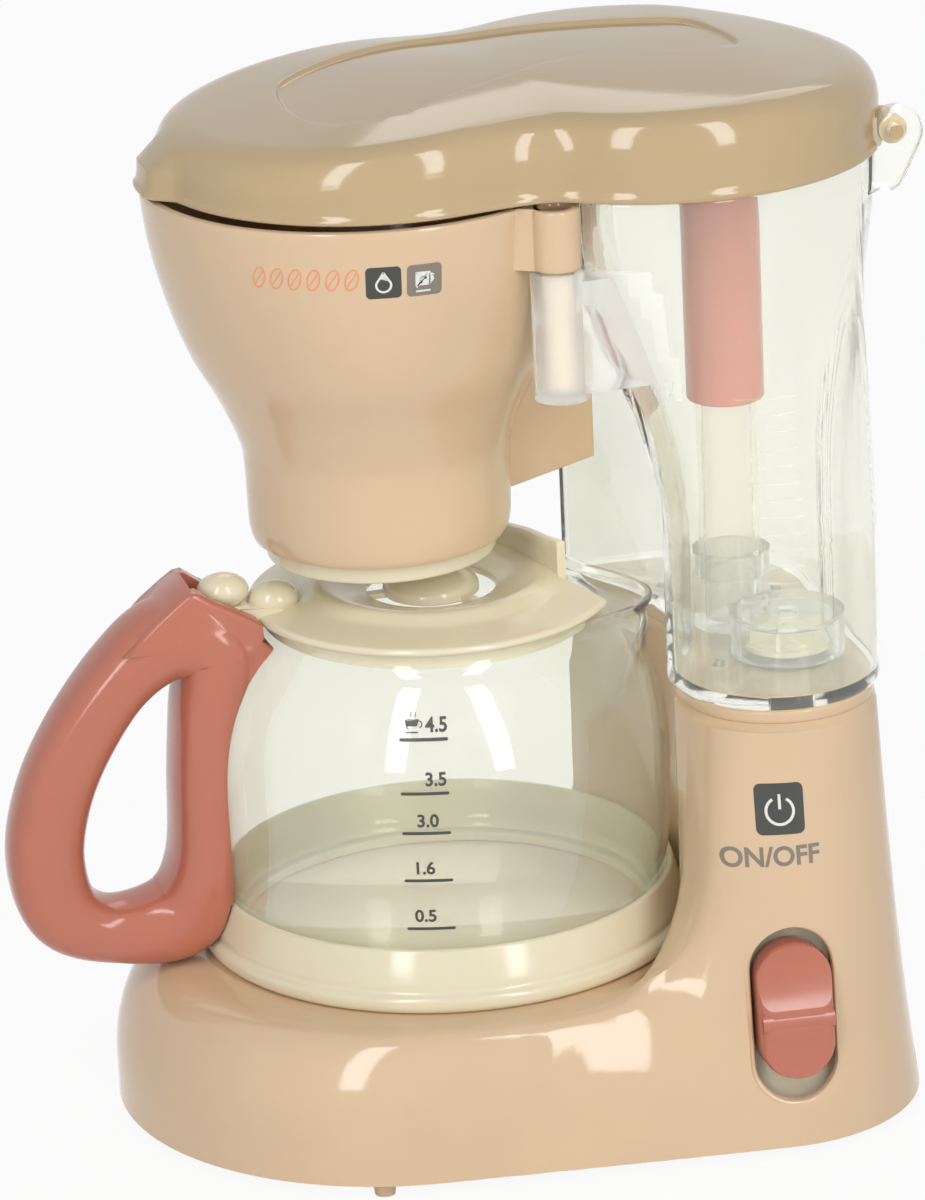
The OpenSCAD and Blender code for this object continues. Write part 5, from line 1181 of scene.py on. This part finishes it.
BEANS, BEAN_W, BEAN_H, BEAN_LEAN, BEAN_RIM = 6, 1.45, 2.5, radians(-18), 0.35
BEAN_Z, BEAN_FROM, BEAN_TO = 198, -131.5, -107
crease = [(0.5 * sin(1.6 * t) - 1.4 * t * sin(BEAN_LEAN), 1.5 * t) for t in (-1, -0.6, -0.2, 0.2, 0.6, 1)]
bean = [oval(BEAN_W, BEAN_H, BEAN_LEAN), oval(BEAN_W - BEAN_RIM, BEAN_H - BEAN_RIM, BEAN_LEAN),
        drawn_line(crease, 0.3)]
for k in range(BEANS):
    bean_way = lerp(BEAN_FROM, BEAN_TO, k / (BEANS - 1))
    print_on(basket, "basket_bean_%d" % k, bean, (*BASKET_AT, BEAN_Z), bean_way, ink_orange,
             "terracotta_gloss", "basket")
drop_line = [(0, 2.3), (-0.8, 1.0)] + arc(0, -0.5, 1.55, 160, 380, 14) + [(0.8, 1.0), (0, 2.3)]
mug_line = [(-1.7, 1.7), (-1.7, -1.2), (-1.4, -1.6), (0.8, -1.6), (1.1, -1.2), (1.1, 1.7), (-1.9, 1.7)]
mug_ear, saucer = arc(1.2, 0.2, 1.05, -85, 85, 10), [(-1.8, -2.4), (1.3, -2.4)]
mug = [drawn_line(line, 0.42) for line in (mug_line, mug_ear, saucer)]
BADGES = [("drop", [drawn_line(drop_line, 0.45)], -99, 197.1, ink_dark), ("mug", mug, -88.5, 197, ink_grey)]
for name, drawing, way, z, badge_ink in BADGES:
    print_on(basket, "basket_%s_badge" % name, [box_outline(7.4, 7, 1)], (*BASKET_AT, z), way, badge_ink,
             "black_plastic", "basket")
    print_on(basket, "basket_%s" % name, drawing, (*BASKET_AT, z), way, ink_white, "cream_gloss", "basket",
             layer=1)

POWER_AT, WORD_AT, FACE_WAY = (55.7, -50, 76.7), (53.3, -50, 66.6), -94
power_plate = [box_outline(10.3, 11, 1.4)]
print_on(housing, "power_badge", power_plate, POWER_AT, FACE_WAY, ink_dark, "black_plastic", "base")
power = [drawn_line(arc(0, -0.4, 2.9, 120, 420, 24), 0.6), drawn_line([(0, 3.2), (0, 0)], 0.6)]
print_on(housing, "power_sign", power, POWER_AT, FACE_WAY, ink_white, "cream_gloss", "base", layer=1)
print_on(housing, "switch_word", "ON/OFF", WORD_AT, FACE_WAY, ink_grey, "black_plastic", "base", high=4.3)

TANK_MARKS, MARK_LOW, MARK_HIGH, MARK_X = 16, 112, 166, 60
MARK_LONG, MARK_SHORT, LONG_EVERY = 13, 8.4, 5
for k in range(TANK_MARKS):
    long = MARK_SHORT if k % LONG_EVERY else MARK_LONG
    mark_at = (MARK_X + (MARK_LONG - long) / 2, 0, lerp(MARK_LOW, MARK_HIGH, k / (TANK_MARKS - 1)))
    print_on(tank, "tank_mark_%d" % k, [box_outline(long, 0.35, 0.15)], mark_at, FACE_WAY, clear_ps,
             "clear_plastic", "base")
